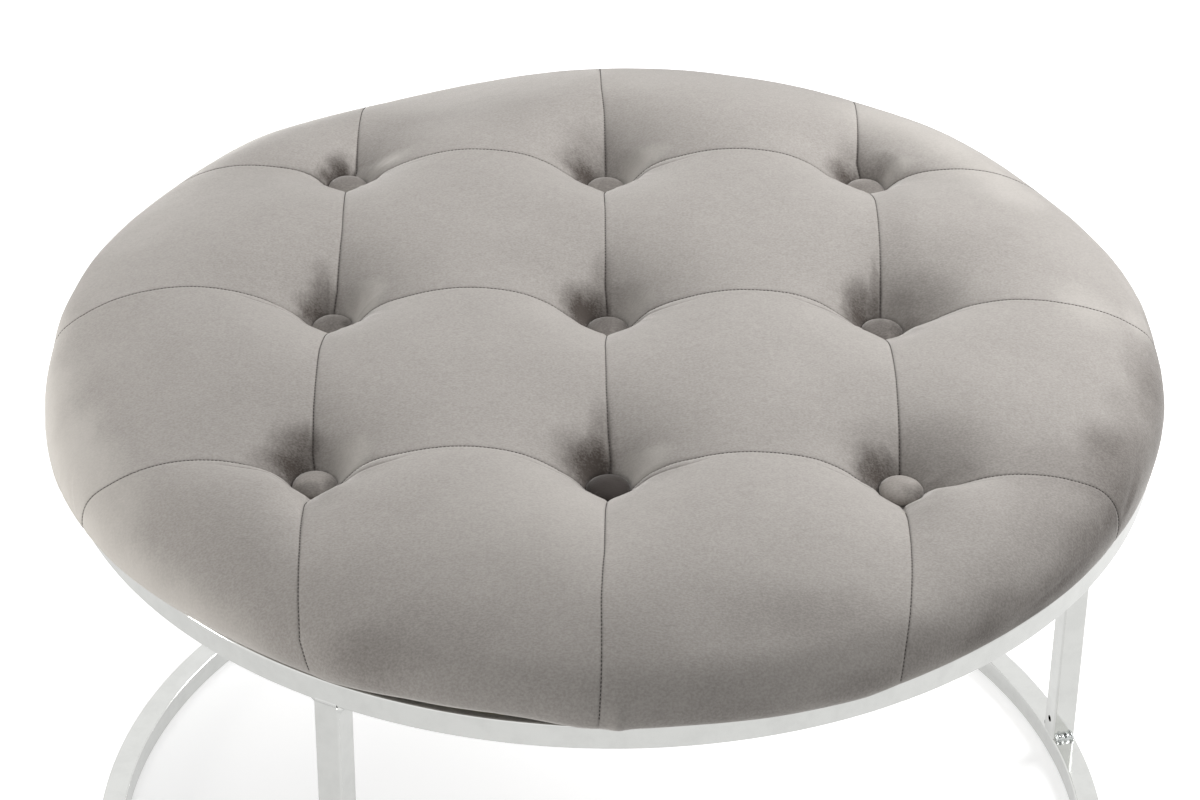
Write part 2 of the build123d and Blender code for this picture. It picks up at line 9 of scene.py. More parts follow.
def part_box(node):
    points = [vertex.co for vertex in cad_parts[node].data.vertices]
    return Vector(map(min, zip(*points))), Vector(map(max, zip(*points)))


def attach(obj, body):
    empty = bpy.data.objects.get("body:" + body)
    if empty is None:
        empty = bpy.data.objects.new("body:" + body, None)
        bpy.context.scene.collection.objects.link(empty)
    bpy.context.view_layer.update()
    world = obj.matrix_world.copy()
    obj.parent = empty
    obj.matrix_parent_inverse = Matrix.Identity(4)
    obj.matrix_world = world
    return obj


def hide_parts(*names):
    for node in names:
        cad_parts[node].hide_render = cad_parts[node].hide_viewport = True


# Round tufted ottoman: a velvet seat on a bright frame of square tube.
# Metres and the frame of the CAD model; the seat's form is worked out in millimetres over its ring.
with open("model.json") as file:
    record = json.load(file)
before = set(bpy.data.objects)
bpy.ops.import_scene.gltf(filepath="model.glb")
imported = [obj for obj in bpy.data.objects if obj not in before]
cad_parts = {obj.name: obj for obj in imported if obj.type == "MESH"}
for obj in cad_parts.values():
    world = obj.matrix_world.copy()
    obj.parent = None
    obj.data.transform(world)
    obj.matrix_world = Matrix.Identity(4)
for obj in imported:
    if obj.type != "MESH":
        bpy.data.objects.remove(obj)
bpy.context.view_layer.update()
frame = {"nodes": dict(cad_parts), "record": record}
nodes = frame["nodes"]
MM = 0.001
RING_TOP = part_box("seat_ring")[1].z
rng = np.random.RandomState(11)


# Curves that the forms are made of


def eased(x):
    """A share from 0 to 1, with a soft start and end."""
    return x * x * (3 - 2 * x)


def bell(x, middle, width):
    """A smooth bump: 1 at the middle and 0.37 a width away."""
    return np.exp(-(((x - middle) / width) ** 2))


def rising(x, start, length):
    """0 up to the start, then a ramp to 1 over the length."""
    return np.clip((x - start) / length, 0, 1)


def falling(x, end, length):
    """1, then a ramp over the length down to 0 at the end."""
    return np.clip((end - x) / length, 0, 1)


# Noise for the forms: random values on a lattice, smoothly joined

LATTICE = np.random.RandomState(5).uniform(-1, 1, (32, 32, 32))


def lumps(points, scale, shift=0.0):
    """Soft noise from -1 to 1 at points in millimetres; scale is the size of a lump."""
    p = np.asarray(points, float) / scale + 100.0 + shift
    cell = np.floor(p).astype(int)
    part = eased(p - cell)
    total = 0.0
    for corner in range(8):
        step = np.array([(corner >> axis) & 1 for axis in range(3)])
        where = (cell + step) % 32
        weight = np.prod(np.where(step == 1, part, 1 - part), axis=-1)
        total = total + weight * LATTICE[where[..., 0], where[..., 1], where[..., 2]]
    return total


# Meshes


def linked(name, mesh, material, smooth=True):
    """An object with this mesh, in the scene."""
    mesh.polygons.foreach_set("use_smooth", [smooth] * len(mesh.polygons))
    mesh.materials.append(material)
    mesh.update()
    piece = bpy.data.objects.new(name, mesh)
    bpy.context.scene.collection.objects.link(piece)
    return piece


def mesh_object(name, vertices, faces, material, smooth=True, face_out=False):
    """A mesh object; vertices are in metres."""
    mesh = bpy.data.meshes.new(name)
    mesh.from_pydata([tuple(v) for v in vertices], [], [tuple(f) for f in faces])
    mesh.validate()
    if face_out:
        built = bmesh.new()
        built.from_mesh(mesh)
        bmesh.ops.recalc_face_normals(built, faces=built.faces)
        built.to_mesh(mesh)
        built.free()
    return linked(name, mesh, material, smooth)


def vertex_normals(vertices, faces):
    """Vertex normals of a mesh of quads, as an array."""
    corners = vertices[faces]
    across = np.cross(corners[:, 2] - corners[:, 0], corners[:, 3] - corners[:, 1])
    normals = np.zeros_like(vertices)
    for index in range(4):
        np.add.at(normals, faces[:, index], across)
    return normals / np.maximum(np.linalg.norm(normals, axis=1, keepdims=True), 1e-12)


def band(first, sides, rings, wrap=False):
    """Quads from each ring of points to the next one; the rings are numbered one after another."""
    quads = []
    for ring in range(rings if wrap else rings - 1):
        here, there = first + ring * sides, first + (ring + 1) % rings * sides
        for k in range(sides):
            n = (k + 1) % sides
            quads.append((here + k, there + k, there + n, here + n))
    return quads


def turned_over(faces):
    """The same faces seen from the other side."""
    return [(face[0], *face[:0:-1]) for face in faces]


# Materials


class Nodes:
    """A node tree with a short way to add nodes."""

    def __init__(self, tree):
        self.tree = tree

    def add(self, kind, *values, settings=None, **inputs):
        """A new node; values go into its sockets in order, inputs by their names."""
        node = self.tree.nodes.new(kind)
        for key, value in (settings or {}).items():
            setattr(node, key, value)
        for socket, value in zip(node.inputs, values):
            self.put(socket, value)
        for key, value in inputs.items():
            self.put(node.inputs[key], value)
        return node

    def put(self, socket, value):
        if isinstance(value, bpy.types.NodeSocket):
            self.tree.links.new(value, socket)
        else:
            socket.default_value = (*value, 1.0) if socket.type == "RGBA" else value

    def math(self, operation, a, b=0.0, c=0.0):
        return self.add("ShaderNodeMath", a, b, c, settings={"operation": operation}).outputs[0]

    def vector(self, operation, a, b):
        return self.add("ShaderNodeVectorMath", a, b, settings={"operation": operation}).outputs[0]

    def rays(self):
        """Two sockets: one for camera rays, and one for mirrored and refracted rays."""
        path = self.add("ShaderNodeLightPath").outputs
        mirrored = self.math("MAXIMUM", path["Is Glossy Ray"], path["Is Transmission Ray"])
        return path["Is Camera Ray"], mirrored


class Paint(Nodes):
    """A material, and short ways to make its patterns."""

    def __init__(self, name):
        self.material = bpy.data.materials.new(name)
        self.material.use_nodes = True
        super().__init__(self.material.node_tree)
        self.shader = self.tree.nodes["Principled BSDF"]
        self.where = self.add("ShaderNodeTexCoord").outputs["Object"]

    def set(self, **inputs):
        for key, value in inputs.items():
            self.put(self.shader.inputs[key.replace("_", " ")], value)

    def axes(self):
        return self.add("ShaderNodeSeparateXYZ", self.where).outputs

    def noise(self, scale, detail=3.0, roughness=0.6, stretch=None, output="Fac"):
        where = self.vector("MULTIPLY", self.where, stretch) if stretch else self.where
        node = self.add("ShaderNodeTexNoise", Vector=where, Scale=scale, Detail=detail, Roughness=roughness)
        return node.outputs[output]

    def ramp(self, value, low, high, to_low=0.0, to_high=1.0):
        smooth = {"interpolation_type": "SMOOTHSTEP"}
        return self.add("ShaderNodeMapRange", value, low, high, to_low, to_high, settings=smooth).outputs[0]

    def mix(self, factor, a, b):
        node = self.add("ShaderNodeMix", settings={"data_type": "RGBA"})
        for index, value in ((0, factor), (6, a), (7, b)):
            self.put(node.inputs[index], value)
        return node.outputs[2]

    def blend(self, pattern, low, high, a, b):
        """From colour a to colour b where the pattern goes from low to high."""
        return self.mix(self.ramp(pattern, low, high), a, b)

    def bumps(self, *layers):
        """Bumps laid one over another: each a height, a strength and a distance."""
        under = {}
        for height, strength, distance in layers:
            bump = self.add("ShaderNodeBump", Height=height, Strength=strength, Distance=distance, **under)
            under = {"Normal": bump.outputs["Normal"]}
        return under["Normal"]


def velvet_material(name, light, dark, button=False):
    """Short-pile velvet: a fine nap, painted shade in patches, on the seat also painted highlights and
    painted crease shade, and a sheen towards its edges.
    """
    p = Paint(name)
    pile, speck = p.noise(560.0, stretch=(1.0, 1.8, 1.0)), p.noise(170.0)
    tone = 0.0
    for pattern, high, weight in (
        (p.noise(22.0, 4.0, 0.55), 0.7, 0.04), (p.noise(7.0, 3.0, 0.5), 0.7, 0.05),
        (speck, 0.75, 0.05), (pile, 0.7, 0.22),
    ):
        tone = p.math("MULTIPLY_ADD", p.ramp(pattern, 0.3, high), weight, tone)
    # Painted shade patches darken the tone towards the dark colour
    tone = p.math("ADD", tone, painted_light_patches(p, BUTTON_SHADE_PATCHES if button else NAP_SHADE_PATCHES))
    colour = p.mix(p.math("MINIMUM", tone, 1.0), light, dark)
    if not button:
        # Painted highlights mix in a pale colour here, and the painted crease shade mixes in a dark one
        colour = p.mix(painted_light_patches(p, PAINTED_HIGHLIGHTS), colour, (0.640, 0.612, 0.572))
        painted_crease_shade = p.add("ShaderNodeAttribute", settings={"attribute_name": "crease"}).outputs["Fac"]
        colour = p.mix(painted_crease_shade, colour, (0.050, 0.041, 0.036))
    p.set(Base_Color=colour, Roughness=0.9, Normal=p.bumps((speck, 0.12, 0.0006), (pile, 0.4, 0.0004)))
    p.set(Sheen_Weight=0.55, Sheen_Roughness=0.35, Sheen_Tint=(1.0, 0.98, 0.955), Specular_IOR_Level=0.15)
    return p.material


def painted_light_patches(p, patches):
    """How strong the patches of painted shade and highlight are at each place, with streaky edges that
    follow the pile.
    """
    bent = p.where
    for pattern, amount in (
        (p.noise(110.0, 5.0, 0.68, (1.0, 0.38, 0.38), output="Color"), 0.014),
        (p.noise(30.0, 2.0, 0.5, output="Color"), 0.008),
    ):
        shift = p.vector("SUBTRACT", pattern, (0.5, 0.5, 0.5))
        bent = p.vector("ADD", bent, p.vector("MULTIPLY", shift, (amount,) * 3))
    total = None
    for x, y, height, across, along, up, strength in patches:
        inverse = [1 / (reach * MM) for reach in (across, along, up)]
        place = (x * MM, y * MM, RING_TOP + height * MM)
        far = p.add("ShaderNodeVectorMath", p.vector("MULTIPLY", bent, inverse),
                    [c * k for c, k in zip(place, inverse)], settings={"operation": "DISTANCE"})
        depth = p.ramp(far.outputs["Value"], 0.15, 1.25, strength, 0.0)
        if total is None:
            total = depth
        else:
            total = p.math("ADD", total, p.math("MULTIPLY", depth, p.math("SUBTRACT", 1.0, total)))
    return total


def filled(*rows):
    """Patches as place, height, reach along each axis and strength, in millimetres over the ring's top.

    A row of five leaves out the height and the reach upwards, which are then those of the seat's top.
    """
    return [row if len(row) == 7 else (*row[:2], 60, *row[2:4], 90, row[4]) for row in rows]


def on_rim(radius, bearing, height, across, up, strength):
    """A patch at a bearing round the rim."""
    angle = math.radians(bearing)
    return (radius * math.cos(angle), radius * math.sin(angle), height, across, across, up, strength)


# Painted shade: darker places behind the buttons first, where the velvet faces away from the light and its
# nap lies the other way, then at the rim
NAP_SHADE_PATCHES = filled(
    (-209, 207.5, 15, 15, 0.60), (-206, 219.5, 11, 20, 0.44), (-214, 206, 10, 8, 0.46),
    (-201, 214, 7, 12, 0.40), (-160, 262, 70, 60, 46, 60, 0.10), (-14, 207.5, 20, 13, 0.76),
    (-22, 215.5, 22, 16, 0.28), (-13, 230, 24, 34, 0.26), (186, 208, 18, 14, 0.78),
    (192, 222, 16, 26, 0.26), (205, 213, 10, 10, 0.34), (-212, 8, 17, 14, 0.68),
    (-208, 24, 14, 26, 0.42), (-15, 9, 19, 20, 0.80), (-19, 12, 20, 18, 0.34), (-4, 30, 12, 32, 0.30),
    (185, 12.5, 16, 27, 0.64), (186, 4, 17, 12, 0.60), (197, 28, 5, 34, 0.42), (218, 1, 16, 9, 0.34),
    (228, 22, 34, 26, 0.20), (-212, -192, 18, 15, 0.66), (-215, -177, 21, 22, 0.46),
    (-207, -170, 12, 15, 0.32), (-228, -192, 20, 13, 0.32), (-11, -190.5, 18, 24, 0.80),
    (-18, -183, 22, 24, 0.36), (-5, -166, 12, 34, 0.38), (186, -187.5, 19, 18, 0.64),
    (184, -172.5, 28, 24, 0.16), (181, -195, 18, 10, 0.56), (222, -201, 14, 9, 0.36),
    (230, -176, 44, 34, 0.17), (262, 64, 68, 84, 44, 60, 0.10), (216, 110, 60, 20, 80, 60, 0.10),
    (-105, 285, 74, 115, 60, 60, 0.12), (0, 200, 80, 460, 250, 200, 0.035),
    (410, -10, 26, 28, 70, 44, 0.66), (402, -84, 26, 30, 60, 44, 0.52),
    (384, -62, 50, 20, 54, 22, 0.28), (343, -153, 56, 24, 24, 22, 0.34),
    (366, -146, 50, 26, 30, 30, 0.30), (386, -134, 18, 34, 44, 44, 0.42),
    (366, -186, 12, 34, 42, 44, 0.60), (350, -190, 46, 34, 46, 34, 0.34),
    (322, -186, 60, 60, 40, 34, 0.16), (346, -212, 22, 24, 24, 20, 0.40),
    (302, -206, 62, 52, 46, 34, 0.12), (322, -236, 18, 40, 40, 34, 0.54),
    (290, -256, 42, 44, 40, 28, 0.15), (296, -276, 12, 44, 40, 24, 0.52),
    (262, -306, 22, 40, 24, 20, 0.26), (244, -322, 12, 36, 24, 18, 0.40),
    (250, -300, 40, 46, 34, 20, 0.14), (205, -345, 24, 60, 36, 20, 0.20),
    (160, -368, 14, 40, 30, 14, 0.20), (130, -352, 52, 80, 26, 28, 0.20),
    (70, -398, 12, 70, 20, 11, 0.12), (-150, -366, 28, 50, 24, 24, 0.24),
    (-112, -366, 50, 66, 26, 26, 0.13), (366, -104, 54, 22, 26, 26, 0.16),
    (278, -294, 4, 34, 34, 9, 0.42),
)
# Painted highlights: brighter places beyond the buttons on their right, then round the rim, where light and
# sheen catch the velvet
PAINTED_HIGHLIGHTS = filled(
    (-172, 212, 20, 12, 0.36), (27, 212, 24, 13, 0.36), (226, 210, 16, 8, 0.26),
    (-176, 13, 18, 16, 0.36), (22, 12, 16, 13, 0.24), (-176, -187, 18, 14, 0.36),
    (24, -188, 20, 13, 0.36), (-50, -285, 80, 90, 80, 80, 0.09), (60, -330, 60, 300, 110, 80, 0.03),
    (-178, -200, 56, 16, 13, 60, 0.45), (27, -199, 58, 16, 10, 60, 0.38),
    (25, 204, 58, 14, 9, 60, 0.36), (-179, 6, 56, 14, 11, 60, 0.42), (347, 2, 67, 30, 36, 20, 0.22),
    (391, 7, 46, 20, 26, 22, 0.26), (-388, -90, 47, 26, 42, 24, 0.26),
    (-371, -146, 49, 26, 38, 22, 0.42), (-352, -184, 49, 28, 34, 22, 0.38),
    (-330, -222, 48, 30, 34, 22, 0.26),
    *[on_rim(409, bearing, height, 54, 38, strength) for bearing, height, strength in (
        (174, 14, 0.40), (181, 16, 0.80), (188, 16, 0.84), (195, 16, 0.84), (202, 14, 0.76),
        (209, 12, 0.60), (216, 10, 0.52), (223, 8, 0.50), (230, 5, 0.42))],
    *[on_rim(357, bearing, 68, 42, 22, 0.24) for bearing in (29, 37, 45, 53)],
)
# Painted shade on the buttons: the front middle one darkest, and each darker at its right edge
BUTTON_SHADE_PATCHES = filled(
    (0, -200, 50, 34, 34, 60, 1.0), (-3, 0, 50, 22, 20, 40, 0.46), (-198, -2, 50, 22, 20, 40, 0.50),
    (203, -2, 50, 22, 20, 40, 0.54), (-198, 201, 50, 20, 18, 40, 0.34), (2, 199, 50, 20, 18, 40, 0.36),
    (204, 199, 50, 20, 18, 40, 0.36), (-204, -210, 48, 18, 8, 40, 0.30),
    (208, -209, 48, 14, 10, 40, 0.34), (-187, -204, 46, 7, 13, 40, 0.42),
    (213, -204, 46, 7, 13, 40, 0.42), (13, -4, 46, 7, 13, 40, 0.34), (-187, -4, 46, 7, 13, 40, 0.42),
    (213, -4, 46, 7, 13, 40, 0.42),
)


def grained_material(name, colours, noises, shade, gloss, bumps, metallic=1.0):
    """Metal or moulded plastic.

    Shade and gloss say which of the noises mixes the colours and which sets the roughness, and
    between which values; each bump is a noise's number, a strength and a distance.
    """
    p = Paint(name)
    made = [p.noise(*noise) for noise in noises]
    p.set(Base_Color=p.blend(made[shade[0]], *shade[1:], *colours), Metallic=metallic)
    p.set(Roughness=p.ramp(made[gloss[0]], *gloss[1:]))
    p.set(Normal=p.bumps(*((made[bump[0]], *bump[1:]) for bump in bumps)))
    return p.material


def plywood_material():
    """Birch plywood: long grain on the faces and dark glue lines round the edge."""
    p = Paint("plywood")
    grain, pores = p.noise(60.0, 5.0, stretch=(0.25, 4.0, 1.0)), p.noise(420.0, stretch=(0.12, 3.0, 1.0))
    ply = p.math("PINGPONG", p.math("SUBTRACT", p.axes()[2], RING_TOP), 0.003)
    glue = p.ramp(ply, 0.0, 0.0007, 0.55, 0.0)
    face = p.blend(grain, 0.3, 0.72, (0.56, 0.40, 0.23), (0.40, 0.26, 0.13))
    face = p.mix(p.ramp(pores, 0.55, 0.75, 0.0, 0.4), face, (0.25, 0.15, 0.08))
    normal = p.add("ShaderNodeSeparateXYZ", p.add("ShaderNodeNewGeometry").outputs["True Normal"])
    edge = p.ramp(p.math("ABSOLUTE", normal.outputs[2]), 0.7, 0.3)
    p.set(Base_Color=p.mix(p.math("MULTIPLY", glue, edge), face, (0.12, 0.06, 0.03)))
    p.set(Roughness=0.72, Normal=p.bumps((pores, 0.3, 0.0004)))
    return p.material


def foam_material():
    """Open-cell foam."""
    p = Paint("foam")
    cells = p.add("ShaderNodeTexVoronoi", Vector=p.where, Scale=420.0).outputs["Distance"]
    p.set(Base_Color=p.blend(p.noise(14.0, 3.0, 0.5), 0.3, 0.7, (0.80, 0.74, 0.53), (0.72, 0.63, 0.38)))
    p.set(Roughness=0.95, Normal=p.bumps((cells, 0.6, 0.0012)))
    return p.material


def dust_cloth_material():
    """Black spunbonded cloth with a fine embossed grid."""
    p = Paint("dust_cloth")
    rows, lines = [p.math("SINE", p.math("MULTIPLY", axis, 3600.0)) for axis in p.axes()[:2]]
    dots = p.ramp(p.math("MULTIPLY", rows, lines), 0.2, 0.8)
    fibre = p.noise(520.0, 4.0, 0.65)
    p.set(Base_Color=p.blend(fibre, 0.3, 0.75, (0.012, 0.012, 0.013), (0.040, 0.040, 0.042)))
    p.set(Roughness=p.ramp(dots, 0.0, 1.0, 0.85, 0.6))
    p.set(Normal=p.bumps((dots, 0.5, 0.0005), (fibre, 0.4, 0.0003)))
    return p.material


def twine_material(name, colour, other):
    """Twisted cord: slanted strands with loose fibres."""
    p = Paint(name)
    x, y, z = p.axes()
    slant = p.math("ADD", p.math("MULTIPLY", z, 3200.0), p.math("MULTIPLY", p.math("ADD", x, y), 1900.0))
    strand = p.math("SINE", slant)
    tone = p.math("MULTIPLY_ADD", p.noise(1600.0), 0.4, p.ramp(strand, -1.0, 1.0, 0.0, 0.6))
    p.set(Base_Color=p.mix(tone, other, colour), Roughness=0.9, Normal=p.bumps((strand, 0.5, 0.0003)))
    return p.material


# Each velvet runs from its own colour to a dark one, which the noise and the painted shade patches mix in
velvet = velvet_material("velvet", (0.420, 0.396, 0.374), (0.072, 0.060, 0.053))
# The buttons' velvet is painted darker than the seat's, as painted shade in their pits
button_velvet = velvet_material("button_velvet", (0.352, 0.327, 0.304), (0.045, 0.038, 0.035), True)
polished = grained_material(
    "polished_frame", ((0.750, 0.756, 0.736), (0.7125, 0.7182, 0.6992)),
    ((900.0, 3.0, 0.6, (1.0, 1.0, 0.25)), (26.0, 2.0, 0.5), (60.0, 4.0)),
    (2, 0.35, 0.7), (2, 0.3, 0.8, 0.07, 0.112), ((1, 0.06, 0.002), (0, 0.03, 0.0002)))
weld_metal = grained_material(
    "weld_metal", ((0.70, 0.72, 0.71), (0.50, 0.52, 0.52)), ((900.0, 4.0, 0.65), (420.0, 2.0, 0.5)),
    (0, 0.35, 0.7), (1, 0.3, 0.7, 0.10, 0.26), ((1, 0.9, 0.0012), (0, 0.4, 0.0003)))
zinc = grained_material(
    "zinc_hardware", ((0.40, 0.41, 0.42), (0.30, 0.31, 0.33)), ((1500.0,), (240.0,)),
    (1, 0.35, 0.7), (0, 0.3, 0.7, 0.28, 0.42), ((0, 0.2, 0.0002),))
core_plastic, glide_plastic = (
    grained_material(name, colours, ((1200.0,), (90.0, 3.0, 0.5)),
                     (1, 0.3, 0.7), (0, 0.3, 0.7, 0.85 * rough, rough), ((0, 0.15, 0.0002),), 0.0)
    for name, colours, rough in (
        ("core_plastic", ((0.64, 0.62, 0.57), (0.58, 0.56, 0.51)), 0.45),
        ("glide_plastic", ((0.016, 0.016, 0.016), (0.022, 0.022, 0.023)), 0.5),
    )
)
foam, dust_cloth = foam_material(), dust_cloth_material()
thread = twine_material("seam_thread", (0.062, 0.054, 0.048), (0.030, 0.026, 0.023))

FINISHES = {
    "polished_frame": polished,
    "weld_metal": weld_metal,
    "zinc_hardware": zinc,
    "plywood": plywood_material(),
    "core_plastic": core_plastic,
    "glide_plastic": glide_plastic,
    "twine": twine_material("twine", (0.66, 0.62, 0.54), (0.42, 0.38, 0.31)),
}
for subpart in frame["record"]["subparts"]:
    piece = nodes[subpart["node"]]
    finish = FINISHES.get(subpart["material_slot"])
    if finish:
        for index in range(len(piece.material_slots)):
            piece.material_slots[index].material = finish


# The seat's form. Seams lie on a grid of three lines each way, 200 mm apart, with a button where
# two of them cross; every height is over the ring's top.

PITCH = 200.0
# Height of the plain form where seams cross under a button, and what a corner's fan adds between seams
CORNER, FAN_RISE = 32.0, 12.0
# Distances from the middle and heights of the rim's section; SEAM_DRAW is how far seams draw it in
FOOT_RADIUS, RIM_RADIUS, SHOULDER_RADIUS, TURN_IN_RADIUS = 399.4, 405.0, 392.0, 342.5
RIM_HEIGHT, SHOULDER_HEIGHT = 28.0, 48.0
SEAM_DRAW = 1.9
# How much further out the rim swells round some bearings: bearing, half width, millimetres
RIM_SWELL = (
    (208.0, 19.0, 9.5), (186.0, 10.0, -0.8), (174.0, 9.0, 1.0), (150.0, 16.0, -3.5),
    (116.0, 17.0, -6.0), (28.0, 16.0, -3.5), (334.0, 12.0, -1.5),
)
# How far the lowest part of the side bulges over the ring's edge, the same way
FOOT_SWELL = (
    (216.0, 9.0, 5.0), (245.0, 8.0, 3.4), (258.0, 6.0, 1.6), (270.5, 6.0, 6.2), (271.7, 0.8, 1.8),
    (283.0, 9.0, 4.8), (297.0, 10.0, 6.6), (328.0, 16.0, 3.4),
)
# How many degrees a seam is pulled sideways: bearing, half width, degrees, and the height it begins at
SEAM_TURN = ((239.5, 5.0, 1.5, 30.0), (270.0, 9.0, -0.55, 90.0), (300.0, 6.0, -2.0, 60.0))
# Where the shoulder sinks, the same way
SHOULDER_SINK = ((116.0, 18.0, 7.0),)
# Where the foot stands off the ring and leaves a dark slit: bearings and height
SLIT = (242.0, 268.5, 3.5)

# Crests of the seams along X, front to back and left to right, then along Y, left to right and
# front to back, and of the pillows between them
ROW_CREST = ((80.5, 77.2), (81.2, 81.6), (81.3, 83.6))
COLUMN_CREST = ((81.0, 81.0), (80.5, 82.0), (79.0, 82.0))
PILLOW_CREST = ((87.3, 85.0), (87.5, 89.0))
# Crests of the seams that run out to the rim
ROW_END_CREST = ((68.2, 59.0), (80.5, 73.8), (66.0, 65.5))
COLUMN_END_CREST = ((66.5, 60.0), (77.5, 74.0), (59.5, 67.0))
# Crests of the pillows at the rim: left and right sides front to back, front and back left to right
SIDE_PILLOW = {"left": (82.5, 81.5), "right": (76.5, 77.5), "front": (83.0, 80.5), "back": (73.5, 84.0)}
CORNER_PILLOW = {"front_left": 73.5, "front_right": 66.5, "back_left": 66.5, "back_right": 69.5}

# How many lines a panel has: to its middle, from there to the foot of the side, and under the board
HALF_LINES, RIM_LINES, FLANGE_LINES = 56, 36, 12
FOOT_LINE = HALF_LINES + RIM_LINES
INNER_PANELS = 4


def seam_lines():
    """Places along a panel's side, close together near its two seams."""
    share = np.linspace(0, 1, HALF_LINES + 1)
    half = PITCH / 2 * (0.30 * share + 0.70 * share**2.6)
    return np.concatenate([half, PITCH - half[-2::-1]])


LINES = seam_lines()
SHARES = LINES / PITCH


def arch(share, rise):
    """A round arch over a span of one; rise is its height against half the span."""
    k = np.maximum(np.abs(rise), 1e-4)
    radius = (1 + k * k) / (2 * k)
    across = 2 * share - 1
    return (np.sqrt(np.maximum(radius**2 - across**2, 0.0)) - (radius - k)) / k


def swell(share):
    return 4 * share * (1 - share)


def span(near, crest, far, share):
    """Heights across a panel, from one seam over the crest to the other seam."""
    rise = crest - (near + far) / 2
    return near + (far - near) * share + rise * arch(share, rise / (PITCH / 2))


def crest_line(near, far, top, share):
    """Heights of a crest from one seam over the pillow's top to the other seam."""
    return near + (far - near) * share + (top - (near + far) / 2) * swell(share)


def inner_panel(i, j):
    """The square pillow between four buttons."""
    u, v = SHARES[:, None], SHARES[None, :]
    front, back = ROW_CREST[j][i], ROW_CREST[j + 1][i]
    left, right = COLUMN_CREST[i][j], COLUMN_CREST[i + 1][j]
    top = PILLOW_CREST[j][i]
    left_side, right_side = span(CORNER, left, CORNER, v), span(CORNER, right, CORNER, v)
    over_x = span(left_side, crest_line(front, back, top, v), right_side, u)
    front_side, back_side = span(CORNER, front, CORNER, u), span(CORNER, back, CORNER, u)
    over_y = span(front_side, crest_line(left, right, top, u), back_side, v)
    x = PITCH * (i - 1) + LINES[:, None] + 0 * v
    y = PITCH * (j - 1) + LINES[None, :] + 0 * u
    return np.stack([x, y, (over_x + over_y) / 2], axis=-1)


def arc(a, b, c, count):
    """Points along the arc through three points."""
    (ax, az), (bx, bz), (cx, cz) = a, b, c
    double_area = 2 * (ax * (bz - cz) + bx * (cz - az) + cx * (az - bz))
    aa, bb, cc = ax * ax + az * az, bx * bx + bz * bz, cx * cx + cz * cz
    mx = (aa * (bz - cz) + bb * (cz - az) + cc * (az - bz)) / double_area
    mz = (aa * (cx - bx) + bb * (ax - cx) + cc * (bx - ax)) / double_area
    radius = math.hypot(ax - mx, az - mz)
    start = math.atan2(az - mz, ax - mx)
    turn = -((start - math.atan2(cz - mz, cx - mx)) % (2 * math.pi))
    angles = start + turn * np.linspace(0, 1, count)
    return np.stack([mx + radius * np.cos(angles), mz + radius * np.sin(angles)], axis=-1)


def lengths_along(line):
    """How far along a polyline each of its points is."""
    return np.concatenate([[0], np.cumsum(np.linalg.norm(np.diff(line, axis=0), axis=1))])


def walked(marks, along, line):
    """Points of a polyline at the given distances along it."""
    return np.stack([np.interp(marks, along, line[:, k]) for k in range(line.shape[1])], axis=-1)


def rim_section(start, crest, reaches):
    """Distances and heights from a button line over the crest, round the rim and under the board."""
    shoulder, rim, foot, turn_in = reaches
    over = arc((0, start), (shoulder / 2, crest), (shoulder, SHOULDER_HEIGHT), 90)
    down = arc((shoulder, SHOULDER_HEIGHT), (rim, RIM_HEIGHT), (foot, 0), 40)
    line = np.concatenate([over, down[1:], [(turn_in, 0.0)]])
    along = lengths_along(line)
    marks = np.linspace(0, along[-1], int(along[-1]) + 2)
    line = walked(marks, along, line)
    # The joins between the arcs are softened, but not the button line and the foot
    reach, spread = 9, 4.0
    kernel = np.exp(-0.5 * (np.arange(-reach, reach + 1) / spread) ** 2)
    kernel /= kernel.sum()
    soft = line.copy()
    for k in range(2):
        padded = np.concatenate([[line[0, k]] * reach, line[:, k], [line[-1, k]] * reach])
        soft[:, k] = np.convolve(padded, kernel, "valid")
    foot_mark = marks[-1] - (foot - turn_in)
    amount = np.clip(np.minimum(marks / 18.0, (foot_mark - marks) / 9.0), 0, 1)
    line = line + (soft - line) * amount[:, None]
    half = LINES[HALF_LINES]
    places = np.concatenate([
        LINES[: HALF_LINES + 1],
        half + (foot_mark - half) * np.linspace(0, 1, RIM_LINES + 1)[1:],
        foot_mark + (marks[-1] - foot_mark) * np.linspace(0, 1, FLANGE_LINES + 1)[1:],
    ])
    return walked(places, marks, line)


def edge_panel(inner_crest, end_crests, top, along, flip):
    """The panel between two buttons and the rim, for the right-hand side: X is outwards and Y along."""
    rows = []
    for share in SHARES:
        y = along + PITCH * share
        draw = SEAM_DRAW * (1 - swell(share))
        reaches = [
            math.sqrt(r**2 - y * y) - PITCH
            for r in (SHOULDER_RADIUS - draw, RIM_RADIUS - draw, FOOT_RADIUS - draw, TURN_IN_RADIUS)
        ]
        start = float(span(CORNER, inner_crest, CORNER, share))
        section = rim_section(start, crest_line(*end_crests, top, share), reaches)
        rows.append(np.stack([PITCH + section[:, 0], np.full(len(section), y), section[:, 1]], axis=-1))
    return turn(np.array(rows), flip)


def corner_panel(end_crests, top, flip):
    """The panel outside a corner button, for the corner at plus X and plus Y, in a fan."""
    rows = []
    for share in SHARES:
        angle = math.radians(90 * share)
        outward = np.array([math.cos(angle), math.sin(angle)])
        inward = PITCH * outward.sum()
        draw = SEAM_DRAW * (1 - swell(share))
        reaches = [
            math.sqrt(inward**2 + r**2 - 2 * PITCH**2) - inward
            for r in (SHOULDER_RADIUS - draw, RIM_RADIUS - draw, FOOT_RADIUS - draw, TURN_IN_RADIUS)
        ]
        start = CORNER + FAN_RISE * swell(share)
        section = rim_section(start, crest_line(*end_crests, top, share), reaches)
        plan = PITCH + section[:, :1] * outward[None, :]
        rows.append(np.concatenate([plan, section[:, 1:]], axis=1))
    return turn(np.array(rows), flip)


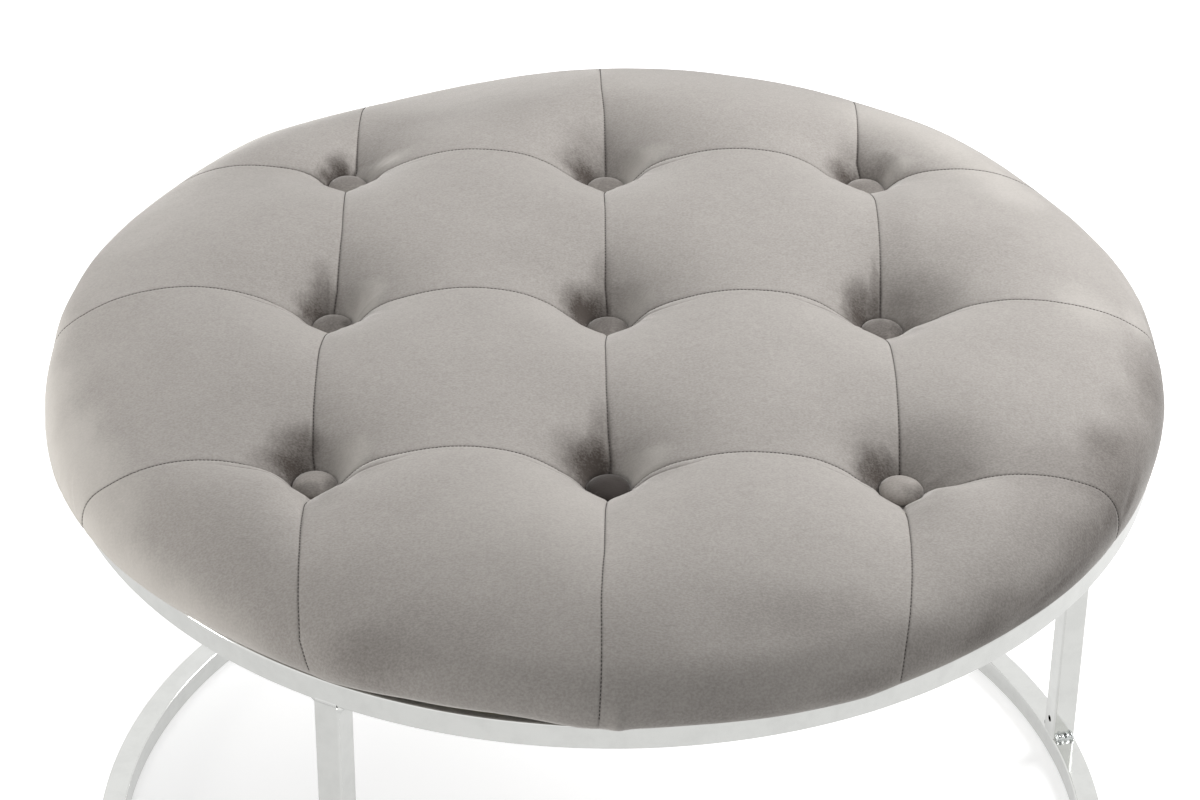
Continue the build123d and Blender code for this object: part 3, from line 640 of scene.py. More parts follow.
def turn(grid, flip):
    """Maps a panel made for the right-hand side to another side by swapping or mirroring axes."""
    swap, sign_x, sign_y = flip
    x, y, z = grid[..., 0], grid[..., 1], grid[..., 2]
    if swap:
        x, y = y, x
    return np.stack([x * sign_x, y * sign_y, z], axis=-1)


def seat_panels():
    """All 16 panels as grids of points: the inner ones, those at the sides, and the corners."""
    panels = [inner_panel(i, j) for i in range(2) for j in range(2)]
    for swap, inner, ends, sides in (
        (False, COLUMN_CREST, ROW_END_CREST, ("left", "right")),
        (True, ROW_CREST, COLUMN_END_CREST, ("front", "back")),
    ):
        for step in range(2):
            for end, sign in ((1, 1), (0, -1)):
                crests = (ends[step][end], ends[step + 1][end])
                flip = (True, 1, sign) if swap else (False, sign, 1)
                top = SIDE_PILLOW[sides[end]][step]
                panels.append(edge_panel(inner[2 * end][step], crests, top, PITCH * (step - 1), flip))
    for name, top in CORNER_PILLOW.items():
        back, right = name.startswith("back"), name.endswith("right")
        crests = (ROW_END_CREST[2 * back][right], COLUMN_END_CREST[2 * right][back])
        panels.append(corner_panel(crests, top, (False, 1 if right else -1, 1 if back else -1)))
    return panels


def facing_up(grid):
    """True if the grid's quads, taken in order, face up near its start."""
    mid = grid.shape[0] // 2
    a, b = grid[mid + 1, 5] - grid[mid, 5], grid[mid, 6] - grid[mid, 5]
    return np.cross(a, b)[2] > 0


def joined(panels):
    """One mesh from all panels: its points, its quads, and each panel's table of point numbers."""
    points = np.concatenate([grid.reshape(-1, 3) for grid in panels])
    keys = np.round(points / 0.02).astype(np.int64)
    table = {}
    numbers = np.empty(len(points), int)
    kept = []
    for index, key in enumerate(map(tuple, keys)):
        found = table.get(key)
        if found is None:
            for shift in np.ndindex(3, 3, 3):
                found = table.get((key[0] + shift[0] - 1, key[1] + shift[1] - 1, key[2] + shift[2] - 1))
                if found is not None:
                    break
        if found is None:
            found = len(kept)
            table[key] = found
            kept.append(index)
        numbers[index] = found
    tables, quads, first = [], [], 0
    for grid in panels:
        size = grid.shape[0] * grid.shape[1]
        own = numbers[first:first + size].reshape(grid.shape[:2])
        first += size
        if not facing_up(grid):
            own = own[::-1]
        tables.append(own)
        corners = [own[:-1, :-1], own[1:, :-1], own[1:, 1:], own[:-1, 1:]]
        quads.append(np.stack(corners, axis=-1).reshape(-1, 4))
    return points[kept], np.concatenate(quads), tables


BUTTON_LINES = (-PITCH, 0.0, PITCH)


def nearest_line(values):
    """Signed distance to the nearest of the three lines, and that line's number."""
    gaps = np.stack([values - line for line in BUTTON_LINES])
    which = np.abs(gaps).argmin(axis=0)
    return np.take_along_axis(gaps, which[None], axis=0)[0], which


def from_buttons(points):
    """Distances along X and Y from the nearest button, and its column and row."""
    dx, column = nearest_line(points[:, 0])
    dy, row = nearest_line(points[:, 1])
    return dx, dy, column, row


def beside(near, column, row, side=0):
    """True for the points nearest a button and, if a side is given, on that side of it."""
    dx, _, columns, rows = near
    return (columns == column) & (rows == row) & ((side == 0) | (np.sign(dx) == side))


def polar(points):
    """Distances from the seat's middle, and bearings in degrees."""
    return np.hypot(points[:, 0], points[:, 1]), np.degrees(np.arctan2(points[:, 1], points[:, 0])) % 360


# Single folds in the rim: bearing and height of both ends, width and depth
RIM_FOLDS = (
    ((204.6, 46.0), (208.4, 16.0), 1.5, 0.9),
    ((202.4, 30.0), (204.0, 12.0), 1.6, 0.6),
    ((18.0, 50.0), (-4.0, 36.0), 3.6, 0.9),
    ((8.0, 34.0), (-12.0, 22.0), 3.0, 0.6),
    ((-22.0, 40.0), (-30.0, 20.0), 3.0, 0.7),
    ((-48.0, 16.0), (-36.0, 24.0), 2.6, 0.7),
    ((-64.0, 14.0), (-61.0, 4.0), 1.4, 0.7),
    ((-72.0, 9.0), (-68.0, 4.0), 1.4, 0.6),
    ((282.0, 16.0), (285.0, 9.0), 1.6, 0.5),
)
# How deep the second creases are, by column, row and side of their button
SECOND_CREASES = {
    (0, 0, -1): 0.9, (0, 0, 1): 0.7, (1, 0, -1): 0.35, (1, 0, 1): 1.0, (2, 0, -1): 0.35, (2, 0, 1): 0.3,
    (0, 1, -1): 0.9, (1, 1, 1): 0.35, (2, 1, -1): 1.0, (2, 1, 1): 0.25, (1, 2, 1): 0.6, (0, 2, 1): 0.2,
}
# Points within this distance of a line along Y are in its seam
SEAM_WIDTH = 6.0


def seat_relief(points):
    """How far the velvet stands out from its plain form, in millimetres along its normal."""
    near = from_buttons(points)
    dx, dy, column, row = near
    far = np.hypot(dx, dy)
    # The groove of each seam, its puckered edges and the pad's unevenness
    seam = np.minimum(np.abs(dx), np.abs(dy))
    behind = bell(dy, 26.0, 26.0) * (np.abs(dx) < SEAM_WIDTH)
    relief = -(0.42 + 0.1 * bell(far, 0, 40.0) + 0.34 * behind) * np.exp(-((seam / 0.8) ** 1.3))
    run = np.where(np.abs(dx) < np.abs(dy), points[:, 1], points[:, 0])
    pucker = np.sin(run * 2 * math.pi / 5.6 + 3 * lumps(points, 40.0))
    relief += 0.05 * bell(seam, 3.4, 1.8) + 0.09 * pucker * bell(seam, 2.0, 2.0)
    relief *= rising(points[:, 2], 1.0, 8.0)
    relief += 0.9 * lumps(points, 85.0) + 0.45 * lumps(points, 38.0, 7.3) + 0.12 * lumps(points, 12.0, 3.1)
    # Folds that gather round each button
    bearing = np.arctan2(dy, dx)
    own = (column * 3 + row) * 1.7 + far / 90.0
    place = np.stack([np.cos(bearing) * 2.3, np.sin(bearing) * 2.3, own], axis=-1)
    fold = (1 - np.abs(lumps(place * 10.0, 10.0, 1.9))) ** 5
    relief += (0.6 * fold - 0.2) * bell(far, 26.0, 14.0) * np.clip(seam / 4.0, 0, 1)
    # A second crease in front of some seams along X, where they dive to a button
    offset, window = second_crease(np.abs(dx))
    crease = -1.15 * bell(dy, offset, 1.0) + 0.5 * bell(dy, offset / 2, 2.0)
    for button_side, depth in SECOND_CREASES.items():
        relief += np.where(beside(near, *button_side), depth * window * crease, 0.0)
    for start, end, width, depth in RIM_FOLDS:
        relief -= depth * rim_fold(points, start, end, width)
    return relief * (0.15 + 0.85 * np.clip(points[:, 2] / 8.0, 0, 1))


def second_crease(run):
    """How far a second crease lies in front of its seam, and its strength, by distance from the button."""
    offset = -(2.6 + 7.0 * np.sin(np.clip(run / 80.0, 0, 1) * math.pi))
    return offset, rising(run, 13.0, 8.0) * falling(run, 70.0, 24.0)


def rim_fold(points, start, end, width):
    """The form of a single fold in the rim, between two places given by bearing and height."""
    degree, around = 7.0, 2520.0
    reach, bearing = polar(points)
    run_u, run_v = (end[0] - start[0]) * degree, end[1] - start[1]
    length = math.hypot(run_u, run_v)
    u, v = bearing * degree - start[0] % 360 * degree, points[:, 2] - start[1]
    u = (u + around / 2) % around - around / 2
    along = (u * run_u + v * run_v) / length**2
    aside = (v * run_u - u * run_v) / length
    fade = np.clip(along * 4, 0, 1) * np.clip((1 - along) * 3, 0, 1) * (reach > 330)
    return fade * (bell(aside, 0, width) - 0.5 * bell(aside, 2.2 * width, 1.4 * width))


def crease_shade(points):
    """Painted shade in the velvet's creases, from 0 to 1: they are too narrow to shade themselves."""
    near = from_buttons(points)
    dx, dy = near[:2]
    depth = 0.30 + (0.34 * bell(dy, 24.0, 26.0) - 0.20 * bell(dy, -28.0, 30.0)) * (np.abs(dx) < SEAM_WIDTH)
    fading = 0.16 * np.clip(points[:, 1] / 100.0, 0, 1) + 0.44 * rising(points[:, 1], 240.0, 80.0)
    depth *= 1 - fading * (np.abs(dx) < SEAM_WIDTH)
    shade = depth * bell(np.minimum(np.abs(dx), np.abs(dy)), 0, 0.78)
    offset, window = second_crease(np.abs(dx))
    for button_side, strength in SECOND_CREASES.items():
        dark = 0.42 * strength * window * bell(dy, offset, 0.9)
        shade += np.where(beside(near, *button_side), dark, 0.0)
    return np.clip(shade, 0, 1) * rising(points[:, 2], 3.0, 6.0)


# How far the seams along X stand above their arches, or below: column, row and side of the button,
# height, distance from the button, and half width
SEAM_LIFT = (
    (0, 0, 1, 2.6, 36, 18), (1, 0, 1, 2.6, 36, 18), (0, 1, 1, 1.8, 32, 18), (1, 1, 1, 1.6, 34, 18),
    (1, 2, 1, 2.4, 34, 20), (2, 2, 1, 2.4, 34, 20), (0, 2, 1, 1.2, 30, 18),
    (2, 1, 1, -3.2, 32, 20), (2, 0, 1, -3.0, 32, 20),
    (0, 0, -1, -2.0, 25, 9), (1, 0, -1, -1.0, 28, 9), (2, 0, -1, -2.0, 26, 10), (0, 1, -1, -1.5, 28, 10),
    (1, 1, -1, -2.6, 26, 10), (2, 1, -1, -2.0, 27, 10), (1, 2, -1, -1.8, 28, 9), (2, 2, -1, -2.0, 28, 9),
    (0, 2, -1, 3.0, 32, 20), (1, 0, -1, 1.0, 58, 18), (2, 0, -1, 0.9, 58, 18), (1, 1, -1, 1.0, 58, 18),
    (2, 1, -1, 1.1, 58, 18), (1, 2, -1, 0.9, 60, 18), (2, 2, -1, 1.0, 60, 18),
)


def seam_lift(points):
    """The small rises and dips of the seams along X beside their buttons, in millimetres."""
    near = from_buttons(points)
    dx, dy = near[:2]
    lift = np.zeros(len(points))
    for column, row, side, height, middle, width in SEAM_LIFT:
        bump = height * bell(np.abs(dx), middle, width) * bell(dy, 0, 14.0)
        lift += np.where(beside(near, column, row, side), bump, 0.0)
    return lift


# How far the seams along Y lie to the right of their straight lines, left to right: place along Y, shift
SEAM_SWAY = (
    ((-400, -1.0), (-352, -1.0), (-333, -3.2), (-305, -4.6), (-280, -5.3), (-240, -4.5), (-210, 0.0),
     (-190, 0.0), (-176, -2.7), (-146, -3.5), (-81, -3.4), (-20, 0.0), (16, 0.0), (28, 2.0), (80, 3.4),
     (127, 2.3), (190, 0.0), (208, 0.0), (224, 5.2), (263, 5.6), (400, 6.2)),
    ((-400, -3.0), (-375, -3.8), (-355, -4.5), (-333, -3.9), (-315, -2.8), (-259, -2.0), (-210, 0.0),
     (-190, 0.0), (-179, 1.8), (-161, 0.0), (-125, -1.4), (-67, -2.0), (-20, 0.0), (18, 0.0), (32, -1.5),
     (107, -1.6), (144, -2.2), (190, 0.0), (210, 0.0), (230, -0.8), (277, -1.8), (312, -4.0), (400, -5.2)),
    ((-400, -2.6), (-354, -2.5), (-329, -2.0), (-277, 0.0), (-249, 0.6), (-210, 0.0), (-188, 0.0),
     (-150, 0.7), (-112, 1.0), (-69, 0.7), (-20, 0.0), (20, 0.0), (68, 1.5), (133, 2.3), (190, 0.0),
     (208, 0.0), (226, -4.6), (256, -3.2), (284, -2.4), (400, -2.0)),
)


def seam_sway(points, plain):
    """Moves the seams along Y to the side; the rim keeps its outline."""
    moved = points.copy()
    for line, marks in zip(BUTTON_LINES, SEAM_SWAY):
        moved[:, 0] += np.interp(plain[:, 1], *zip(*marks)) * bell(plain[:, 0], line, 45.0)
    reach = polar(points)[0]
    back = reach / np.maximum(polar(moved)[0], 1.0) - 1
    moved[:, :2] *= (1 + back * rising(reach, 300.0, 60.0))[:, None]
    return moved


def round_rim(bearing, bumps):
    """The sum of smooth bumps round the rim, each a bearing, a half width and a height."""
    return sum(amount * bell(bearing, middle, width) for middle, width, amount in bumps)


def rim_swelling(points):
    """Moves the rim in or out by its bearing, lifts the foot at the slit, and pulls seams sideways."""
    reach, bearing = polar(points)
    rise = points[:, 2]
    high = rising(reach, 320.0, 80.0) ** 1.5 * eased(rising(rise, 0, 16.0))
    low = rising(rise, 0, 2.6) * bell(rise, 0, 24.0) * rising(reach, 380.0, 15.0)
    out = round_rim(bearing, RIM_SWELL) * high + round_rim(bearing, FOOT_SWELL) * low
    first, last, height = SLIT
    slit = rising(bearing, first, 9.0) * falling(bearing, last, 9.0)
    slit *= rising(reach, 374.0, 22.0) * bell(rise, 0, 9.0)
    sink = eased(rising(reach, 250.0, 120.0) * rising(rise, 10.0, 30.0))
    moved = points.copy()
    moved[:, :2] *= ((reach + out - 1.6 * slit) / np.maximum(reach, 1.0))[:, None]
    moved[:, 2] += height * slit - round_rim(bearing, SHOULDER_SINK) * sink
    for middle, width, degrees, begin in SEAM_TURN:
        part = falling(rise, begin, begin) * rising(reach, 216.0, 70.0)
        angle = np.radians(degrees * part * bell(bearing, middle, width))
        x, y = moved[:, 0].copy(), moved[:, 1].copy()
        moved[:, 0] = x * np.cos(angle) - y * np.sin(angle)
        moved[:, 1] = x * np.sin(angle) + y * np.cos(angle)
    return moved


def smaller(a, b, blend):
    """The lesser of two heights, rounded where they meet."""
    h = np.clip(0.5 + 0.5 * (b - a) / blend, 0, 1)
    return b * (1 - h) + a * h - blend * h * (1 - h)


# The pit that a button sits in; the velvet runs down to its edge at a slope, and its wall is steep
PIT_RADIUS, PIT_FLOOR, PIT_WALL = 15.7, 42.0, 1.2
BUTTON_EDGE_HEIGHT, DIP_SLOPE, DIP_REACH, DIP_BLEND = 47.0, 1.45, 60.0, 7.0
# The skin and its lining stay this far above the ring's top
LOWEST = 0.02
# Where the velvet sinks further in front of a button, or less: column and row, place from the button,
# depth and half width
DIP_CHANGE = ((2, 0, 14, -22, 2.4, 13), (2, 1, 12, -34, 2.6, 14), (0, 0, 16, -26, -1.6, 12))


def seat_mesh():
    """The outer skin: points in millimetres over the ring, quads, normals, tables, and its painted crease
    shade.
    """
    plain, quads, tables = joined(seat_panels())
    points = seam_sway(rim_swelling(plain), plain)
    points[:, 2] += seam_lift(plain)
    near = from_buttons(points)
    dx, dy = near[:2]
    far = np.hypot(dx, dy)
    skin = points + vertex_normals(points, quads) * seat_relief(plain)[:, None]
    dip = BUTTON_EDGE_HEIGHT + DIP_SLOPE * np.maximum(far - PIT_RADIUS, 0)
    skin[:, 2] = np.where(far < DIP_REACH, smaller(skin[:, 2], dip, DIP_BLEND), skin[:, 2])
    for column, row, across, along, depth, width in DIP_CHANGE:
        spot = depth * bell(dx, across, width) * bell(dy, along, width)
        skin[:, 2] -= np.where(beside(near, column, row), spot, 0.0)
    wall = rising(far, PIT_RADIUS - PIT_WALL, PIT_WALL) ** 2
    skin[:, 2] = np.where(far < PIT_RADIUS, PIT_FLOOR + (skin[:, 2] - PIT_FLOOR) * wall, skin[:, 2])
    skin[:, 2] = np.maximum(skin[:, 2], LOWEST)
    return skin, quads, vertex_normals(skin, quads), tables, crease_shade(plain)


def to_scene(points):
    """From millimetres over the ring's top to metres in the CAD frame."""
    return points * MM + np.array([0, 0, RING_TOP])


skin, skin_quads, skin_normals, tables, skin_shade = seat_mesh()

# The lining and the foam have every fourth line of the skin, and lie this deep under it
STRIDE = 4
LINING_DEPTH, FOAM_DEPTH = 1.1, 2.2


class InnerPoints:
    """Points of the skin moved inwards, numbered in the order in which they are asked for."""

    def __init__(self, depth, first=0):
        self.depth, self.first, self.numbers = depth, first, {}

    def number(self, outer):
        return self.numbers.setdefault(int(outer), self.first + len(self.numbers))

    def points(self):
        chosen = list(self.numbers)
        return skin[chosen] - skin_normals[chosen] * self.depth

    def faces(self, table, turned=False):
        """The faces of one panel, leaving out what is pinched to a line where a fan begins."""
        coarse, faces = table[::STRIDE, ::STRIDE], []
        for a in range(coarse.shape[0] - 1):
            for b in range(coarse.shape[1] - 1):
                ring = [coarse[a, b], coarse[a + 1, b], coarse[a + 1, b + 1], coarse[a, b + 1]]
                if turned:
                    ring[1], ring[3] = ring[3], ring[1]
                corners = tuple(dict.fromkeys(self.number(n) for n in ring))
                if len(corners) > 2:
                    faces.append(corners)
        return faces


def seat_cover():
    """The velvet cover as a closed skin: the outer face, its turned-in edge and a coarser lining."""
    lining = InnerPoints(LINING_DEPTH, len(skin))
    faces = [tuple(q) for q in skin_quads]
    for table in tables:
        faces += lining.faces(table, turned=True)
    for table in tables[INNER_PANELS:]:
        edge = table[:, -1]
        for a in range(0, len(edge) - STRIDE, STRIDE):
            fine = [int(n) for n in edge[a:a + STRIDE + 1]]
            faces.append((*fine[::-1], lining.number(fine[0]), lining.number(fine[-1])))
    points = np.concatenate([skin, lining.points()])
    points[:, 2] = np.maximum(points[:, 2], LOWEST)
    piece = mesh_object("velvet_seat_cover", to_scene(points), faces, velvet)
    # The skin's points carry the painted crease shade as an attribute, which the velvet reads
    shade = np.zeros(len(points), np.float32)
    shade[:len(skin)] = skin_shade
    piece.data.attributes.new("crease", "FLOAT", "POINT").data.foreach_set("value", shade)
    return piece


cover = seat_cover()
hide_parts("velvet_cover")
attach(cover, "root")


# The pocket for the board in the foam's underside, as radii and heights from its edge to its middle
BOARD_POCKET = ((388.3, 1.6), (388.3, 16.5), (60.0, 16.5))


def foam_block():
    """The foam under the velvet, with the board let into its underside."""
    inner, faces = InnerPoints(FOAM_DEPTH), []
    for table in tables[:INNER_PANELS] + [table[:, :FOOT_LINE + 1] for table in tables[INNER_PANELS:]]:
        faces += inner.faces(table)
    points = inner.points()
    points[:, 2] = np.maximum(points[:, 2], BOARD_POCKET[0][1])
    built = bmesh.new()
    made = [built.verts.new(to_scene(p)) for p in points]
    for face in faces:
        built.faces.new([made[n] for n in face])
    loop = [edge for edge in built.edges if edge.is_boundary]
    for radius, height in BOARD_POCKET:
        grown = bmesh.ops.extrude_edge_only(built, edges=loop)["geom"]
        loop = [item for item in grown if isinstance(item, bmesh.types.BMEdge)]
        for vert in {v for edge in loop for v in edge.verts}:
            angle = math.atan2(vert.co.y, vert.co.x)
            vert.co = (radius * MM * math.cos(angle), radius * MM * math.sin(angle), RING_TOP + height * MM)
    bmesh.ops.holes_fill(built, edges=loop)
    bmesh.ops.recalc_face_normals(built, faces=built.faces)
    mesh = bpy.data.meshes.new("seat_foam")
    built.to_mesh(mesh)
    built.free()
    return linked("seat_foam", mesh, foam)


foam_piece = foam_block()
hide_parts("foam_pad")
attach(foam_piece, "root")


# Stitches along the seams


STITCH_PITCH, STITCH_RADIUS, STITCH_SIDES = 2.7, 0.31, 6
# Rings of a stitch: place along it from its middle, thickness against its radius, and rise
STITCH_RINGS = ((-1.0, 0.35, -0.15), (-0.55, 1.0, 0.22), (0.55, 1.0, 0.22), (1.0, 0.35, -0.15))
# How far from a button the stitches stop: in front of it, and at its other sides
FRONT_GAP, BUTTON_GAP = 32.0, 17.0


def stitches():
    """Short thread stitches lying in the seams, from button to button and out to the rim."""
    vertices, faces = [], []
    for table in seam_tables():
        path, up = skin[table], skin_normals[table]
        step = lengths_along(path)
        count = int(step[-1] / STITCH_PITCH)
        for index in range(count):
            marks = [(index + 0.5) * step[-1] / count + ring[0] for ring in STITCH_RINGS]
            if marks[0] < 0 or marks[-1] > step[-1]:
                continue
            places = walked(marks, step, path)
            dx, dy = (float(gap[0]) for gap in from_buttons(places[1:2])[:2])
            if math.hypot(dx, dy) < (FRONT_GAP if dy < 0 and abs(dx) < SEAM_WIDTH else BUTTON_GAP):
                continue
            along = places[3] - places[0]
            along /= np.linalg.norm(along)
            slant = rng.uniform(-0.18, 0.18)
            first = len(vertices)
            for place, normal, (start, size, rise) in zip(places, walked(marks, step, up), STITCH_RINGS):
                normal = normal / np.linalg.norm(normal)
                side = np.cross(along, normal)
                side /= np.linalg.norm(side)
                shift = (place - places[0]).dot(along) + STITCH_RINGS[0][0]
                centre = place + normal * rise + side * slant * shift
                for k in range(STITCH_SIDES):
                    angle = 2 * math.pi * k / STITCH_SIDES
                    out = side * math.cos(angle) + normal * math.sin(angle)
                    vertices.append(centre + out * STITCH_RADIUS * size)
            last = len(vertices) - STITCH_SIDES
            faces += turned_over(band(first, STITCH_SIDES, len(STITCH_RINGS)))
            faces.append(tuple(range(first, first + STITCH_SIDES))[::-1])
            faces.append(tuple(range(last, last + STITCH_SIDES)))
    return mesh_object("seam_stitches", to_scene(np.array(vertices)), faces, thread)


def seam_tables():
    """Each seam once, as a run of point numbers: sides of the inner panels and of the outer ones."""
    runs = {}
    for order, table in enumerate(tables):
        if order < INNER_PANELS:
            sides = [table[0, :], table[-1, :], table[:, 0], table[:, -1]]
        else:
            sides = [table[0, : FOOT_LINE - 2], table[-1, : FOOT_LINE - 2]]
        for side in sides:
            runs.setdefault((min(side[0], side[-1]), max(side[0], side[-1]), side[len(side) // 2]), side)
    return runs.values()


stitch_piece = stitches()
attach(stitch_piece, "root")


# Covered buttons


BUTTON_RADIUS, BUTTON_RISE = 15.3, 9.7
BUTTON_RINGS, BUTTON_SIDES = 26, 72
# How far the buttons' backs are above the pits' floors: the front left one stands higher
BACK_GAP, FRONT_LEFT_GAP = 0.4, 2.0


def button_profile(back):
    """Radii and heights of a button's rings: over its dome, then round its edge to its back."""
    dome, edge_share, profile = 0.72, 0.24, []
    for k in range(BUTTON_RINGS):
        t = k / (BUTTON_RINGS - 1)
        if t < dome:
            angle = t / dome * math.pi / 2 * 0.985
            height = edge_share + (1 - edge_share) * math.cos(angle) ** 0.92
            profile.append((BUTTON_RADIUS * math.sin(angle), back + BUTTON_RISE * height))
        else:
            a = (t - dome) / (1 - dome)
            profile.append((BUTTON_RADIUS - 3.0 * a**1.6, back + BUTTON_RISE * edge_share * (1 - a) + 0.02))
    return profile


def covered_buttons():
    """Nine domed buttons in velvet, each with a slightly uneven face and gathers at its edge."""
    vertices, faces = [], []
    sides = BUTTON_SIDES
    for number, (bx, by) in enumerate((x, y) for y in BUTTON_LINES for x in BUTTON_LINES):
        tilt = rng.uniform(-0.035, 0.035, 2)
        first = len(vertices)
        profile = button_profile(PIT_FLOOR + (FRONT_LEFT_GAP if number == 0 else BACK_GAP))
        vertices.append((bx, by, profile[0][1]))
        for r, z in profile[1:]:
            for s in range(sides):
                angle = 2 * math.pi * s / sides
                x, y = r * math.cos(angle), r * math.sin(angle)
                vertices.append((bx + x, by + y, z + tilt[0] * x + tilt[1] * y))
        faces += band(first + 1, sides, BUTTON_RINGS - 1)
        faces += [(first, first + 1 + s, first + 1 + (s + 1) % sides) for s in range(sides)]
        faces.append(tuple(range(len(vertices) - sides, len(vertices)))[::-1])
    points = np.array(vertices)
    dx, dy = from_buttons(points)[:2]
    far = np.hypot(dx, dy)
    gathers = np.sin(np.arctan2(dy, dx) * 22 + 4 * lumps(points, 30.0)) * rising(far, 11.5, 4.0)
    points[:, 2] += 0.28 * lumps(points, 9.0, 2.2) * np.clip(1.3 - far / 14.0, 0, 1)
    points[:, :2] += (0.12 * gathers / np.maximum(far, 1.0))[:, None] * np.stack([dx, dy], -1)
    return mesh_object("covered_buttons", to_scene(points), faces, button_velvet)


buttons = covered_buttons()
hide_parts("tuft_button_caps")
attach(buttons, "root")


# Dust cover


# The cloth's thickness
CLOTH = 0.45


def dust_sheet():
    """The black cloth under the board: held by its staples, sagging a little between them."""
    low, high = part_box("dust_cover")
    radius = (high.x - low.x) / 2 / MM
    edge_top = (high.z - RING_TOP) / MM
    middle_top = (low.z - RING_TOP) / MM + 0.5
    rings, sides = 70, 256
    angles = np.linspace(0, 2 * math.pi, sides, endpoint=False)
    upper = [np.array([[0.0, 0.0, middle_top]])]
    for k in range(1, rings + 1):
        r = radius * (k / rings)
        ring = np.stack([r * np.cos(angles), r * np.sin(angles), 0 * angles], -1)
        slope = eased(rising(r, 316.0, 34.0))
        held = rising(r, 285.0, 60.0) * (1 - slope)
        wave = (1 + np.cos(angles * 16 + math.pi / 16) * held) * held
        sag = np.clip(r / 60.0, 0, 1) * falling(r, 330.0, 90.0) * (0.9 + 0.7 * lumps(ring, 55.0))
        ring[:, 2] = middle_top + (edge_top - middle_top) * slope - sag - 0.5 * wave
        upper.append(ring)
    top = np.concatenate(upper)
    count = len(top)
    faces = [(0, 1 + s, 1 + (s + 1) % sides) for s in range(sides)] + band(1, sides, rings)
    faces += [tuple(count + n for n in face) for face in turned_over(faces)]
    for s in range(sides):
        a, b = count - sides + s, count - sides + (s + 1) % sides
        faces.append((a, count + a, count + b, b))
    points = np.concatenate([top, top - np.array([0, 0, CLOTH])])
    return mesh_object("dust_cover_cloth", to_scene(points), faces, dust_cloth)


dust = dust_sheet()
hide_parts("dust_cover")
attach(dust, "root")


# The frame's rings and welds


TUBE, TUBE_CORNER = 19.0, 1.6
# The flat beside each rounded corner begins with a narrow strip, which keeps the shading of the flats
FLAT_STRIP = 0.3
RING_STEPS = 720
RING_OUTER = 400.0
LEG_BEARINGS = []
for leg_name in ("leg_front_left", "leg_right", "leg_back_left"):
    low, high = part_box(leg_name)
    LEG_BEARINGS.append(math.atan2(low.y + high.y, low.x + high.x))


def ring_tube(name, node):
    """A square tube bent to a circle, with smooth corners, in the place of the CAD ring."""
    low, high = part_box(node)
    profile = []
    turns = [(0.0, -FLAT_STRIP), *((k / 6, 0.0) for k in range(7)), (1.0, FLAT_STRIP)]
    for corner, (cx, cz) in enumerate(((1, 1), (0, 1), (0, 0), (1, 0))):
        mx = high.x / MM - TUBE + TUBE_CORNER + cx * (TUBE - 2 * TUBE_CORNER)
        mz = low.z / MM + TUBE_CORNER + cz * (TUBE - 2 * TUBE_CORNER)
        for share, slide in turns:
            angle = math.radians(90 * (corner + share))
            profile.append((mx + TUBE_CORNER * math.cos(angle) - slide * math.sin(angle),
                            mz + TUBE_CORNER * math.sin(angle) + slide * math.cos(angle)))
    vertices = []
    for s in range(RING_STEPS):
        angle = 2 * math.pi * s / RING_STEPS
        vertices += [(r * math.cos(angle) * MM, r * math.sin(angle) * MM, z * MM) for r, z in profile]
    piece = mesh_object(name, vertices, band(0, len(profile), RING_STEPS, wrap=True), polished)
    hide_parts(node)
    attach(piece, "root")


ring_tube("seat_ring_tube", "seat_ring")
ring_tube("base_ring_tube", "base_ring")


def beside_leg(bearing, side, radial, across, height):
    """A point beside a leg: along the ring's radius, away from the leg's side, and up."""
    middle = RING_OUTER - TUBE / 2 + radial
    sideways = side * (TUBE / 2 + across)
    x = middle * math.cos(bearing) - sideways * math.sin(bearing)
    y = middle * math.sin(bearing) + sideways * math.cos(bearing)
    return (x * MM, y * MM, height * MM)


def weld_piece(name, node, level, upwards, section, finish):
    """A bead on each side of every leg; section gives its depth and its height at a place along it."""
    vertices, faces = [], []
    along, across = 48, 14
    half, row = TUBE / 2 - TUBE_CORNER - 0.6, across + 2
    for number, bearing in enumerate(LEG_BEARINGS):
        for side in (-1, 1):
            first = len(vertices)
            for a in range(along + 1):
                radial = -half + 2 * half * a / along
                for b in range(across + 1):
                    out, rise = section(b / across, radial, number * 2 + side)
                    vertices.append(beside_leg(bearing, side, radial, out, level + rise * upwards))
                vertices.append(beside_leg(bearing, side, radial, 0.0, level))
            faces += band(first, row, along + 1)
            faces += [tuple(range(end, end + row)) for end in (first, first + along * row)]
    piece = mesh_object(name, vertices, faces, finish, face_out=True)
    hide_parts(node)
    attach(piece, "root")
    return piece


# Sizes of the welds: the rough beads at the feet and the polished fillets at the heads
BEAD, FILLET = 4.4, 6.6


def rough_section(share, radial, which):
    """An uneven bead of overlapping drops."""
    angle = share * math.pi / 2
    spot = np.array([[radial + 40 * which, math.cos(angle) * 5, math.sin(angle) * 5]])
    wobble = float(lumps(spot, 4.2, 2.0)[0]) + 0.7 * float(lumps(spot, 1.9, 5.0)[0])
    drops = abs(math.sin(math.pi * (radial + 0.8 * math.sin(which)) / 4.6))
    reach = BEAD + 0.9 * drops + 0.8 * wobble
    if share in (0.0, 1.0):
        reach = BEAD + 0.7 * drops
    return max(reach * math.cos(angle), 0.0), max(reach * math.sin(angle), 0.0)


def smooth_section(share, radial, which):
    """A fillet ground and polished hollow: the same all along each leg."""
    angle = share * math.pi / 2
    return FILLET * (1 - math.sin(angle)), FILLET * (1 - math.cos(angle))


